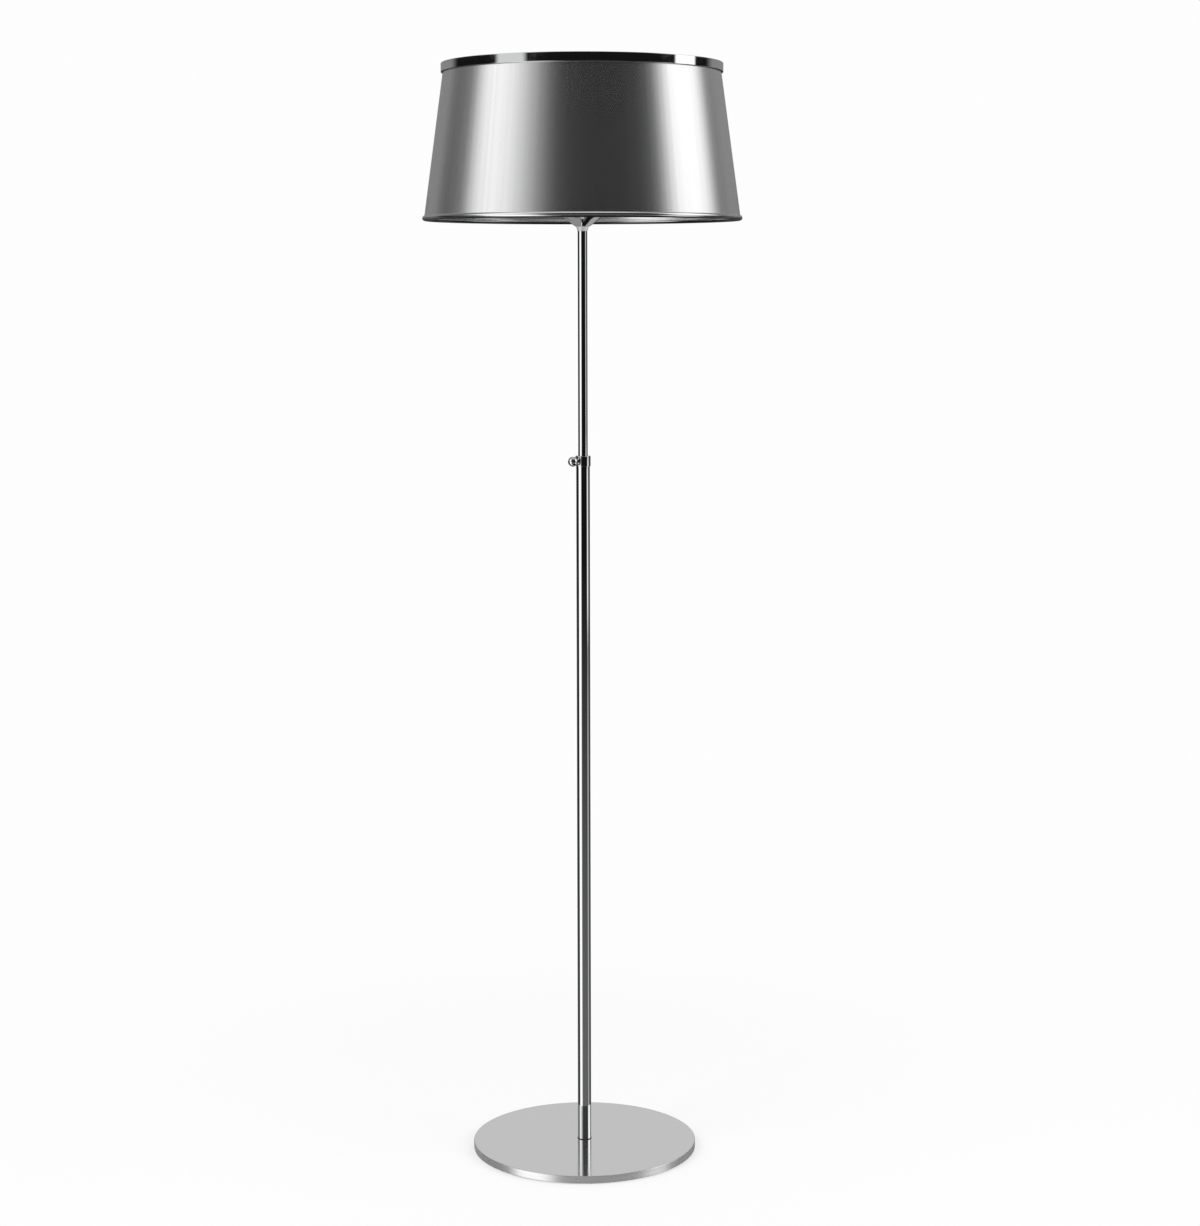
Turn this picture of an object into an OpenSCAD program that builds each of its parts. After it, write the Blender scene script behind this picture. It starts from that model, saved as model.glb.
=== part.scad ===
// Telescopic floor lamp: a heavy round plate, two chrome tubes that slide one inside the other,
// a ball knob that clamps them, and a conical metal shade carried by the lampholder.
// Millimetres. The origin is on the floor under the centre of the plate.
// +Z is up, +X is to the right and -Y is towards the viewer.

/* [Floor plate] */
// Diameter of the round plate
base_d = 300; // [240:5:360]
// Thickness of the plate
base_t = 10; // [8:0.5:16]
// Bevel round the plate's top and bottom edges
base_bevel = 0.6; // [0.3:0.1:1.5]
// Thickness of the soft pad under the plate
pad_t = 1; // [0.5:0.25:3]
// How far the pad stays in from the rim of the plate
pad_inset = 5; // [2:1:20]

/* [Foot fixing] */
// Shank diameter of the bolt that pulls the pole onto the plate
bolt_d = 8; // [6:1:10]
// Diameter of the bolt's low head
bolt_head_d = 14; // [13:1:18]
// Height of the bolt's head
bolt_head_h = 3; // [2.5:0.5:4]
// Size across the flats of the key socket in the bolt's head
bolt_key = 5; // [4:1:6]
// Length of thread that the bolt has in the plug
bolt_grip = 16; // [10:1:20]
// Outer diameter of the lock washer
washer_d = 18; // [16:1:24]
// Thickness of the lock washer
washer_t = 1.2; // [0.8:0.2:2]
// Height of the threaded plug in the foot of the lower tube
plug_h = 28; // [24:1:36]
// Thickness of the gasket between the pole and the plate
gasket_t = 0.8; // [0.5:0.1:1.5]
// How far the gasket stands out round the lower tube
gasket_lip = 0.5; // [0.3:0.1:1.5]

/* [Cable inlet] */
// Height of the inlet's axis above the foot of the lower tube
inlet_h = 40; // [38:1:80]
// Diameter of the inlet's bore
inlet_bore = 6; // [5:0.5:6.5]
// Wall of the grommet round the bore
inlet_wall = 1; // [0.8:0.1:1.4]
// How far the grommet's flange reaches past its stem
inlet_flange = 1.5; // [1:0.25:2]
// How far the grommet stands out of the tube
inlet_proud = 2; // [1.5:0.25:3]

/* [Lower tube] */
// Outer diameter of the lower tube
lower_d = 18; // [17:0.5:22]
// Wall of the lower tube
lower_wall = 1; // [0.8:0.1:1.2]
// Length of the lower tube
lower_l = 918; // [700:1:1100]
// Length of the nylon bush in the mouth of the lower tube
guide_l = 30; // [15:1:60]

/* [Clamp] */
// Outer diameter of the collar
collar_d = 20; // [19.5:0.5:24]
// Height of the collar
collar_h = 13.5; // [12:0.5:20]
// Bevel on the collar's edges
collar_bevel = 0.4; // [0.2:0.1:0.6]
// Direction of the knob round the pole, counted from +X
knob_az = 225; // [0:5:355]
// Diameter of the ball
knob_d = 13; // [10:0.5:16]
// Distance of the ball's centre from the axis of the pole
knob_reach = 18.5; // [18:0.5:26]
// Diameter of the knob's neck at the collar
neck_d = 5.6; // [5.5:0.1:7]
// Half angle of the knob's neck
neck_angle = 20; // [10:1:25]
// Diameter of the clamping screw
screw_d = 5; // [4:0.5:5]
// Diameter of the nylon pellet at the tip of the screw
pellet_d = 4.4; // [3:0.2:4.6]
// Length of the nylon pellet
pellet_l = 1.5; // [1:0.1:2]

/* [Upper tube] */
// Outer diameter of the upper tube
upper_d = 12.5; // [11.5:0.5:13.5]
// Wall of the upper tube
upper_wall = 1.25; // [1:0.05:1.5]
// Length of the upper tube
upper_l = 545; // [480:1:640]
// How far the upper tube shows between the collar and the ferrule
mast_show = 292; // [200:1:340]
// Length of the nylon bush that slides in the lower tube
tail_l = 25; // [15:1:40]
// Thickness of the snap rings that hold the sliding bush
clip_t = 0.8; // [0.6:0.1:1.2]
// How far the snap rings stand out of the upper tube
clip_proud = 1; // [0.6:0.1:1.2]
// Depth of the snap rings' grooves
clip_groove = 0.5; // [0.3:0.1:0.6]
// Length of the stem of the liner in the foot of the upper tube
liner_l = 12; // [8:1:20]
// Thickness of the liner's flange
liner_flange = 1.5; // [1:0.25:3]
// Bore of the liner, for the cable
liner_bore = 7; // [5:0.5:7]

/* [Ferrule and bell] */
// Height of the tapered ferrule under the bell
ferrule_h = 5.6; // [4:0.2:8]
// Radial wall of the ferrule at its lower edge
ferrule_low = 0.45; // [0.3:0.05:1]
// Radial wall of the ferrule at its upper edge
ferrule_high = 2; // [1.5:0.1:3]
// Diameter of the bell's flat floor
bell_floor_d = 17.4; // [17:0.2:20]
// Diameter of the bell at its mouth
bell_d = 50; // [49:1:60]
// Height of the bell's flare
bell_flare_h = 12.4; // [11:0.2:16]
// How far the flare is drawn in from a straight cone
bell_waist = 0.5; // [0.1:0.1:1]
// Height of the bell's upright wall
bell_wall_h = 13; // [8:1:20]
// Thickness of the bell's metal
bell_t = 1; // [0.8:0.1:1.2]

/* [Lampholder] */
// Length of the threaded nipple inside the upper tube
nipple_in_tube = 12; // [8:1:20]
// Size across the flats of the nipple's nut
nut_key = 14; // [13:0.5:14]
// Height of the nipple's nut
nut_h = 3; // [2:0.5:4]
// Diameter of the lampholder
holder_d = 38; // [37:0.5:40]
// Wall of the lampholder's casing
holder_wall = 1.8; // [1.5:0.1:2.2]
// Height of the lampholder's lower cap
holder_cap_h = 26; // [24:1:30]
// Height of the lampholder's upper sleeve
holder_sleeve_h = 34; // [32:1:40]
// Height of the ceramic core
core_h = 12; // [9:1:14]
// Diameter of the two rings that clamp the shade carrier
ring_d = 54; // [50:1:60]
// Height of each clamping ring
ring_h = 5; // [4:0.5:6]

/* [Bulb] */
// Diameter of the bulb's screw cap
cap_d = 26.4; // [26:0.1:26.6]
// Height of the bulb's screw cap
cap_h = 25; // [23:1:27]
// Diameter of the bulb's glass
bulb_d = 60; // [45:1:70]
// Height of the glass above the screw cap
bulb_h = 84; // [74:1:96]
// Thickness of the glass
glass_t = 1; // [0.6:0.1:1.5]

/* [Shade] */
// Outer diameter of the shade's sheet at its lower edge
shade_low_d = 410; // [380:5:440]
// Outer diameter of the shade's sheet at its upper edge
shade_high_d = 356; // [300:5:370]
// Height of the shade's sheet
shade_h = 195; // [180:5:240]
// Thickness of the shade's sheet
shade_t = 1; // [0.6:0.1:1.2]
// Height of the shade's lower edge above the floor of the bell
shade_lift = 10.8; // [6:0.2:24]
// Diameter of the rolled bead at the shade's lower edge
bead_d = 7; // [5:0.5:9]
// How far the bead stands out of the sheet
bead_proud = 2.4; // [1.5:0.1:3]
// Height of the polished ring at the shade's upper edge
rim_h = 11.5; // [8:0.5:16]
// How far the ring stands out of the sheet's upper edge
rim_proud = 3.8; // [3.4:0.1:5]
// Thickness of the ring over and behind the sheet
rim_wall = 1.3; // [1:0.1:2]
// Width of the lap joint inside the shade, at its lower end
seam_w = 14; // [8:1:20]
// Thickness of the lap joint
seam_t = 0.6; // [0.4:0.1:1]

/* [Shade carrier] */
// Number of arms
arm_count = 3; // [3:1:4]
// Direction of the first arm, counted from +X
arm_az = 30; // [0:5:115]
// Width of an arm
arm_w = 8; // [6:1:12]
// Thickness of the arms and the hub
arm_t = 2; // [1.5:0.1:3]
// Width of the carrier's hub round its hole
hub_w = 9; // [8:1:12]
// Height of the feet that hold the sheet
foot_h = 24; // [12:1:32]
// Width of the feet
foot_w = 21; // [14:1:30]
// Thickness of the feet
foot_t = 1.5; // [1:0.1:2]

/* [Clearances] */
// Radial play of a running or threaded fit
fit = 0.05; // [0.02:0.01:0.1]
// Free space between pieces that move past each other
free = 0.3; // [0.2:0.05:0.5]

/* [Hidden] */
$fn = 128;
// Cutting tools reach this far past the face they cut
cut = 1;

// Radii of the main pieces
base_r = base_d / 2;
bolt_r = bolt_d / 2;
lower_r = lower_d / 2;
lower_in_r = lower_r - lower_wall;
upper_r = upper_d / 2;
upper_in_r = upper_r - upper_wall;
holder_r = holder_d / 2;
nipple_r = upper_in_r - fit;
nipple_wall = 1.5;
inlet_r = inlet_bore / 2;
inlet_stem_r = inlet_r + inlet_wall;

// Heights of the stand, from the floor up
pocket_h = bolt_head_h + washer_t + free;
z_plate_top = pad_t + base_t;
z_pocket_top = pad_t + pocket_h;
z_tube_foot = z_plate_top + gasket_t;
z_tube_mouth = z_tube_foot + lower_l;
// The collar's seat ends a little under the clamping screw
collar_seat = collar_h / 2 - screw_d / 2 - free;
z_collar = z_tube_mouth - collar_seat;
z_collar_top = z_collar + collar_h;
z_knob = z_collar + collar_h / 2;
z_inlet = z_tube_foot + inlet_h;

// Distances along the knob's axis, from the axis of the pole
r_pellet = upper_r + free;
r_screw = r_pellet + pellet_l + fit;
r_neck = collar_d / 2 + free;

// Heights of the mast, as the photograph shows it
z_ferrule = z_collar_top + mast_show;
z_bell = z_ferrule + ferrule_h;
z_mast_foot = z_bell - upper_l;
clip_margin = 4;
z_clip_low = z_mast_foot + clip_margin;
z_tail = z_clip_low + clip_t + free;
z_clip_high = z_tail + tail_l + free;

// Heights of the lampholder
z_nut = z_bell + bell_t;
z_holder = z_nut + nut_h + free;
holder_floor = 4;
cap_shoulder = 10;
nipple_top = z_holder + holder_floor + 5;
z_sleeve = z_holder + holder_cap_h;
skirt_h = 8;
skirt_r = holder_r - holder_wall - fit;
z_core = z_sleeve - 10;
z_core_top = z_core + core_h;
contact_h = 3;
z_cap = z_core_top + contact_h;
z_glass = z_cap + cap_h;
z_ring_low = z_sleeve + skirt_h;
z_hub = z_ring_low + ring_h;
z_ring_high = z_hub + arm_t;
shell_t = 0.4;
shell_r = cap_d / 2 + free;
// How far the glass reaches down into the bulb's screw cap
glass_foot = 2;

// Shade
z_shade = z_bell + shade_lift;
z_shade_top = z_shade + shade_h;
z_rim_top = z_shade_top + free + rim_wall;
z_rim = z_rim_top - rim_h;
bead_r = bead_d / 2;
rim_r = shade_high_d / 2 + rim_proud;
rim_bevel = 0.5;
// Play of the sheet in the grooves of the bead and the rim
groove_play = 0.15;
// Outer radius of the sheet at height z
function sheet_r(z) =
  shade_low_d / 2 + (shade_high_d - shade_low_d) / 2 * (z - z_shade) / shade_h;

// Points from a to b, drawn aside by sag at the middle
function bowed(a, b, sag, steps) =
  let (d = b - a, side = [d[1], -d[0]] / norm(d))
  [for (i = [0 : steps]) let (t = i / steps) a + d * t + side * sag * 4 * t * (1 - t)];

function reversed(points) = [for (i = [len(points) - 1 : -1 : 0]) points[i]];

// A straight ring standing on z = 0
module ring(outer, inner, h) {
  rotate_extrude() translate([inner, 0]) square([outer - inner, h]);
}

// A ring with the same bevel on both outer edges
module bevelled_ring(outer, inner, h, bevel) {
  rotate_extrude()
    polygon([
      [inner, 0], [outer - bevel, 0], [outer, bevel],
      [outer, h - bevel], [outer - bevel, h], [inner, h]
    ]);
}

// A hexagonal prism, by its size across the flats
module hexagon(flats, h) {
  cylinder(d = flats / cos(30), h = h, $fn = 6);
}

// Puts its children on the knob's axis, with +Z pointing away from the pole
module on_knob_axis(distance) {
  translate([0, 0, z_knob]) rotate([0, 0, knob_az]) rotate([0, 90, 0])
    translate([0, 0, distance]) children();
}

// Puts its children on the cable inlet's axis, with +Z pointing out of the back of the tube
module on_inlet_axis(distance) {
  translate([0, distance, z_inlet]) rotate([-90, 0, 0]) children();
}

// The cross-section of a layer that lies along the sheet, between two depths under its outer face
module sheet_section(outer_depth, inner_depth, z_low, z_high) {
  polygon([
    [sheet_r(z_low) - inner_depth, z_low], [sheet_r(z_low) - outer_depth, z_low],
    [sheet_r(z_high) - outer_depth, z_high], [sheet_r(z_high) - inner_depth, z_high]
  ]);
}

// A patch that lies along the inside of the sheet, centred on the direction az
module sheet_patch(depth, thickness, z_low, z_high, width, az) {
  angle = width / sheet_r(z_low) * 180 / PI;
  rotate([0, 0, az - angle / 2]) rotate_extrude(angle = angle)
    sheet_section(depth, depth + thickness, z_low, z_high);
}

// ---- Stand ----

module base_plate() {
  color("silver")
  translate([0, 0, pad_t]) difference() {
    bevelled_ring(base_r, bolt_r + free, base_t, base_bevel);
    translate([0, 0, -cut]) cylinder(d = washer_d + 4 * free, h = pocket_h + cut);
  }
}

module base_pad() {
  color("dimgray") cylinder(r = base_r - pad_inset, h = pad_t);
}

module base_bolt() {
  z_head = z_pocket_top - washer_t - bolt_head_h;
  shank_h = washer_t + z_tube_foot - z_pocket_top + bolt_grip;
  color("gray")
  translate([0, 0, z_head]) difference() {
    union() {
      cylinder(d = bolt_head_d, h = bolt_head_h);
      cylinder(r = bolt_r, h = bolt_head_h + shank_h);
    }
    translate([0, 0, -cut]) hexagon(bolt_key, cut + bolt_head_h * 0.7);
  }
}

module lock_washer() {
  color("darkgray")
  translate([0, 0, z_pocket_top - washer_t]) ring(washer_d / 2, bolt_r + fit, washer_t);
}

module foot_plug() {
  color("gray")
  translate([0, 0, z_tube_foot]) difference() {
    cylinder(r = lower_in_r - fit, h = plug_h);
    translate([0, 0, -cut]) cylinder(r = bolt_r + fit, h = bolt_grip + 2 * cut);
  }
}

module foot_gasket() {
  color("black")
  translate([0, 0, z_plate_top]) ring(lower_r + gasket_lip, bolt_r + free, gasket_t);
}

module cable_grommet() {
  inner_end = lower_in_r - inlet_proud / 2;
  outer_end = lower_r + inlet_proud;
  flange_r = inlet_stem_r + inlet_flange;
  color("black")
  difference() {
    union() {
      on_inlet_axis(inner_end) cylinder(r = inlet_stem_r, h = outer_end - inner_end);
      difference() {
        on_inlet_axis(lower_r / 2) cylinder(r = flange_r, h = outer_end - lower_r / 2);
        translate([0, 0, z_inlet - 2 * flange_r]) cylinder(r = lower_r + fit, h = 4 * flange_r);
      }
    }
    on_inlet_axis(inner_end - cut) cylinder(r = inlet_r, h = outer_end - inner_end + 2 * cut);
  }
}

module lower_tube() {
  color("gainsboro")
  difference() {
    translate([0, 0, z_tube_foot]) ring(lower_r, lower_in_r, lower_l);
    on_inlet_axis(lower_r / 2) cylinder(r = inlet_stem_r + fit, h = lower_r);
  }
}

module guide_bush() {
  color("white")
  translate([0, 0, z_tube_mouth - guide_l]) ring(lower_in_r - fit, upper_r + fit, guide_l);
}

module collar() {
  color("gainsboro")
  difference() {
    translate([0, 0, z_collar]) bevelled_ring(collar_d / 2, upper_r + free, collar_h, collar_bevel);
    translate([0, 0, z_collar - cut]) cylinder(r = lower_r + fit, h = collar_seat + cut);
    on_knob_axis(0) cylinder(r = screw_d / 2 + fit, h = collar_d);
  }
}

// ---- Clamp ----

module clamp_knob() {
  neck_l = knob_reach - r_neck;
  color("gainsboro")
  difference() {
    union() {
      on_knob_axis(knob_reach) sphere(d = knob_d);
      on_knob_axis(r_neck)
        cylinder(r1 = neck_d / 2, r2 = neck_d / 2 + neck_l * tan(neck_angle), h = neck_l);
    }
    on_knob_axis(0) cylinder(r = screw_d / 2 + fit, h = knob_reach);
  }
}

module clamp_screw() {
  color("gray") on_knob_axis(r_screw) cylinder(d = screw_d, h = knob_reach - r_screw - free);
}

module brake_pellet() {
  color("white") on_knob_axis(r_pellet) cylinder(d = pellet_d, h = pellet_l);
}

// ---- Mast ----

module tail_bush() {
  color("white") translate([0, 0, z_tail]) ring(lower_in_r - fit, upper_r + fit, tail_l);
}

module snap_rings() {
  color("gray")
  for (z = [z_clip_low, z_clip_high])
    translate([0, 0, z]) difference() {
      ring(upper_r + clip_proud, upper_r - clip_groove + fit, clip_t);
      // The gap that lets the ring spring open
      translate([0, -upper_r / 2, -cut]) cube([upper_d, upper_r, clip_t + 2 * cut]);
    }
}

module upper_tube() {
  color("gainsboro")
  difference() {
    translate([0, 0, z_mast_foot]) ring(upper_r, upper_in_r, upper_l);
    for (z = [z_clip_low, z_clip_high])
      translate([0, 0, z - fit]) ring(upper_d, upper_r - clip_groove, clip_t + 2 * fit);
  }
}

module cable_liner() {
  color("white")
  translate([0, 0, z_mast_foot - liner_flange])
    rotate_extrude()
      polygon([
        [liner_bore / 2, 0], [upper_r, 0], [upper_r, liner_flange],
        [upper_in_r - fit, liner_flange], [upper_in_r - fit, liner_flange + liner_l],
        [liner_bore / 2, liner_flange + liner_l]
      ]);
}

module ferrule() {
  color("gainsboro")
  translate([0, 0, z_ferrule])
    rotate_extrude()
      polygon([
        [upper_r + fit, 0], [upper_r + ferrule_low, 0],
        [upper_r + ferrule_high, ferrule_h], [upper_r + fit, ferrule_h]
      ]);
}

module bell() {
  r0 = bell_floor_d / 2;
  r1 = bell_d / 2;
  // The slope of the flare gives the mitres that keep the metal's thickness even
  slope = atan2(bell_flare_h, r1 - r0);
  outside = bowed([r0, 0], [r1, bell_flare_h], bell_waist, 8);
  inside = bowed(
    [r0 - bell_t * tan(slope / 2), bell_t],
    [r1 - bell_t, bell_flare_h + bell_t * tan(45 - slope / 2)],
    bell_waist, 8
  );
  color("gainsboro")
  translate([0, 0, z_bell])
    rotate_extrude()
      polygon(concat(
        [[nipple_r + fit, 0]], outside, [[r1, bell_flare_h + bell_wall_h]],
        [[r1 - bell_t, bell_flare_h + bell_wall_h]], reversed(inside), [[nipple_r + fit, bell_t]]
      ));
}

module nipple() {
  color("darkgray")
  translate([0, 0, z_bell - nipple_in_tube])
    ring(nipple_r, nipple_r - nipple_wall, nipple_top - z_bell + nipple_in_tube);
}

module nipple_nut() {
  color("gray")
  translate([0, 0, z_nut]) difference() {
    hexagon(nut_key, nut_h);
    translate([0, 0, -cut]) cylinder(r = nipple_r + fit, h = nut_h + 2 * cut);
  }
}

// ---- Lampholder ----

module holder_cap() {
  inner_r = holder_r - holder_wall;
  boss_r = nipple_r + holder_wall + 1;
  color("white")
  translate([0, 0, z_holder])
    rotate_extrude()
      polygon([
        [nipple_r + fit, 0], [boss_r, 0], [holder_r, cap_shoulder], [holder_r, holder_cap_h],
        [inner_r, holder_cap_h], [inner_r, cap_shoulder + holder_wall],
        [boss_r, holder_floor], [nipple_r + fit, holder_floor]
      ]);
}

module holder_core() {
  // Two wire holes beside the centre contact
  color("ivory")
  difference() {
    translate([0, 0, z_core]) cylinder(r = skirt_r - holder_wall - fit, h = core_h);
    for (x = [-9, 9]) translate([x, 0, z_core - cut]) cylinder(d = 3, h = core_h + 2 * cut);
  }
}

module holder_contact() {
  // A bent brass tongue: a flat foot, a slope and a tip under the bulb
  color("goldenrod")
  translate([0, 2.5, z_core_top]) rotate([90, 0, 0])
    linear_extrude(5)
      polygon([
        [-6, 0], [0, 0], [5, contact_h - 1], [5, contact_h - 0.4], [-0.4, 0.6], [-6, 0.6]
      ]);
}

module holder_thread() {
  color("goldenrod")
  translate([0, 0, z_core_top])
    ring(shell_r + shell_t, shell_r, contact_h + cap_h - 2);
}

module holder_sleeve() {
  // The sleeve screws into the cap by a skirt, and ends in a lip round the bulb's cap
  lip_r = shell_r + shell_t + free;
  color("white")
  translate([0, 0, z_sleeve])
    rotate_extrude()
      polygon([
        [skirt_r - holder_wall, -skirt_h], [skirt_r, -skirt_h], [skirt_r, 0], [holder_r, 0],
        [holder_r, holder_sleeve_h], [lip_r, holder_sleeve_h],
        [lip_r, holder_sleeve_h - holder_wall],
        [skirt_r - holder_wall, holder_sleeve_h - 2 * holder_wall]
      ]);
}

module clamp_rings() {
  color("white")
  for (z = [z_ring_low, z_ring_high])
    translate([0, 0, z]) bevelled_ring(ring_d / 2, holder_r + fit, ring_h, collar_bevel);
}

// ---- Shade ----

module shade_carrier() {
  hub_r = holder_r + fit + hub_w;
  foot_depth = shade_t + free;
  z_foot = z_hub + arm_t / 2 - foot_h / 2;
  // The arms end half way through the feet
  arm_end = sheet_r(z_hub + arm_t / 2) - foot_depth - foot_t / 2;
  color("gainsboro") {
    translate([0, 0, z_hub]) ring(hub_r, holder_r + fit, arm_t);
    for (i = [0 : arm_count - 1]) {
      az = arm_az + i * 360 / arm_count;
      rotate([0, 0, az]) translate([hub_r - 1, -arm_w / 2, z_hub])
        cube([arm_end - hub_r + 1, arm_w, arm_t]);
      sheet_patch(foot_depth, foot_t, z_foot, z_foot + foot_h, foot_w, az);
    }
  }
}

module shade_sheet() {
  color("lightgray")
  rotate_extrude() sheet_section(0, shade_t, z_shade, z_shade_top);
}

module shade_bead() {
  color("lightgray")
  rotate_extrude() difference() {
    translate([shade_low_d / 2 + bead_proud - bead_r, z_shade]) circle(r = bead_r);
    sheet_section(-groove_play, shade_t + groove_play, z_shade - free, z_shade + bead_d);
  }
}

module shade_rim() {
  // A channel turned over the sheet: its inner wall stands against the sheet's top edge
  inner_r = shade_high_d / 2 - shade_t - groove_play - rim_wall;
  color("gainsboro")
  rotate_extrude() difference() {
    polygon([
      [inner_r, z_rim], [rim_r, z_rim],
      [rim_r, z_rim_top - rim_bevel], [rim_r - rim_bevel, z_rim_top],
      [inner_r + rim_bevel, z_rim_top], [inner_r, z_rim_top - rim_bevel]
    ]);
    translate([inner_r + rim_wall, z_rim - cut])
      square([rim_r - inner_r - 2 * rim_wall, rim_h - rim_wall + cut]);
  }
}

module shade_seam() {
  z_low = z_shade + bead_d;
  color("lightgray")
  sheet_patch(shade_t + free, seam_t, z_low, z_rim - bead_d / 2, seam_w, 90);
}

// ---- Bulb ----

module bulb_cap() {
  tip_h = 3;
  color("silver")
  translate([0, 0, z_cap])
    rotate_extrude()
      polygon([
        [0, 0], [4.5, 0], [cap_d / 2 - 2, tip_h], [cap_d / 2, tip_h + 1], [cap_d / 2, cap_h],
        [cap_d / 2 - glass_t, cap_h], [cap_d / 2 - glass_t, tip_h + 2], [0, tip_h + 2]
      ]);
}

// Half of the glass's outline, drawn in by depth: a straight foot in the cap, a neck and a ball
function glass_line(depth) =
  let (
    r = bulb_d / 2 - depth,
    centre = bulb_h - bulb_d / 2,
    low = 40,
    shoulder = [r * cos(low), centre - r * sin(low)],
    neck_r = cap_d / 2 - glass_t - fit - depth
  )
  concat(
    [[neck_r, -glass_foot]],
    bowed([neck_r, 0], shoulder, -1.2, 8),
    [for (a = [-low + 10 : 10 : 90]) [r * cos(a), centre + r * sin(a)]]
  );

module bulb_glass() {
  color("white", 0.8)
  translate([0, 0, z_glass])
    rotate_extrude() polygon(concat(glass_line(0), reversed(glass_line(glass_t))));
}

base_plate();
base_pad();
base_bolt();
lock_washer();
foot_plug();
foot_gasket();
cable_grommet();
lower_tube();
guide_bush();
collar();
clamp_knob();
clamp_screw();
brake_pellet();
tail_bush();
snap_rings();
upper_tube();
cable_liner();
ferrule();
bell();
nipple();
nipple_nut();
holder_cap();
holder_core();
holder_contact();
holder_thread();
holder_sleeve();
clamp_rings();
shade_carrier();
shade_sheet();
shade_bead();
shade_rim();
shade_seam();
bulb_cap();
bulb_glass();
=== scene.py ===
"""The looks of a telescopic floor lamp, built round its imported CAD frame.

Lengths are in metres, in the frame's own axes: +Z goes up the pole, +X is to the right and -Y is
towards the viewer. Each sub-assembly is a class that holds its sizes, builds its meshes and dresses
them. Places come from the frame, so every piece sits where its CAD node does.
"""
import logging
import math
from collections.abc import Callable, Iterator, Sequence
from contextlib import contextmanager
from dataclasses import asdict, dataclass
from enum import Enum
from functools import partial, reduce
from itertools import pairwise
from typing import Any, ClassVar, NamedTuple

import bmesh
import bpy
from mathutils import Matrix, Vector


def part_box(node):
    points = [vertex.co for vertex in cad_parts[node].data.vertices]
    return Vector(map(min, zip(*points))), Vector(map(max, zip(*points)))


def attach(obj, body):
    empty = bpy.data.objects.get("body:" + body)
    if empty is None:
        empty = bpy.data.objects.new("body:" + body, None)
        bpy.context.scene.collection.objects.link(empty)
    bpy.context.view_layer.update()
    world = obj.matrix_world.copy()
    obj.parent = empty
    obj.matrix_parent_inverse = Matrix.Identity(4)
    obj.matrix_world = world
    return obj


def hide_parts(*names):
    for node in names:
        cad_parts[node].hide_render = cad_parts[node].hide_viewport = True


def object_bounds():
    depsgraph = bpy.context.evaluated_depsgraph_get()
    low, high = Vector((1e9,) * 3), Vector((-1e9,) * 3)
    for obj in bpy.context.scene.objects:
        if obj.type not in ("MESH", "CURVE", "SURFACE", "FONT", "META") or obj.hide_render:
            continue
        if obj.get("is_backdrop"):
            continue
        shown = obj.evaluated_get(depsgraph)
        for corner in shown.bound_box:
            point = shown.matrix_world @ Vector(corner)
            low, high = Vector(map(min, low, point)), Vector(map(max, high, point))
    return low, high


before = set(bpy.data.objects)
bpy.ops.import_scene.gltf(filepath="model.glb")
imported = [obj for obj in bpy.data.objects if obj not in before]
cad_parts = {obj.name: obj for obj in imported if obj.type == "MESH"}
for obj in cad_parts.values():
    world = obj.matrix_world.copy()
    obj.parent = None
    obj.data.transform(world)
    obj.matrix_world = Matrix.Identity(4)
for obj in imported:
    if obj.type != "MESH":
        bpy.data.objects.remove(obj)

log = logging.getLogger("floor_lamp")

Piece = bpy.types.Object
Tree = bpy.types.NodeTree
Socket = bpy.types.NodeSocket
Colour = tuple[float, float, float]
Turns = tuple[float, float, float]

MM = 0.001
# Ending of the name of a piece that stands for a CAD node
LOOK = "_look"
# Vertices nearer than this are one vertex
WELD = 0.002 * MM
# Faces that meet at less than this angle are shaded as one surface
SMOOTH_ANGLE = math.radians(38)
# Faces that meet at more than this angle make a sharp edge
SHARP_ANGLE = 1.2
# A face is upright where its normal rises less than the first, and level where it rises more than the second
UPRIGHT_RISE = 0.3
LEVEL_RISE = 0.9
FULL_TURN = 2 * math.pi
# A corner whose half angle is above this is straight, and takes no fillet
STRAIGHT = math.radians(89.5)
# A fillet takes up at most this share of each side of its corner
FILLET_REACH = 0.49
WHITE = (1.0, 1.0, 1.0, 1.0)
# Turns that lay a piece's Z axis along +X, -Y and +Y
TO_RIGHT: Turns = (0, math.pi / 2, 0)
TO_FRONT: Turns = (math.pi / 2, 0, 0)
TO_BACK: Turns = (-math.pi / 2, 0, 0)


class Steps(Enum):
    """How many faces a turned piece has round its axis."""

    SHADE = 288
    PLATE = 240
    FITTING = 144
    TUBE = 96
    SMALL = 64


class Corner(NamedTuple):
    """A corner of a turned outline, with the fillet that rounds it."""

    radius: float
    height: float
    fillet: float = 0.0


@dataclass(frozen=True)
class Extent:
    """The outer radius and the heights of a CAD node that is round about the pole."""

    radius: float
    low: float
    high: float

    @classmethod
    def of(cls, node: str) -> "Extent":
        """Read a node's extent from the frame."""
        low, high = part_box(node)
        return cls(high.x, low.z, high.z)


# ---- Outlines ----


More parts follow.
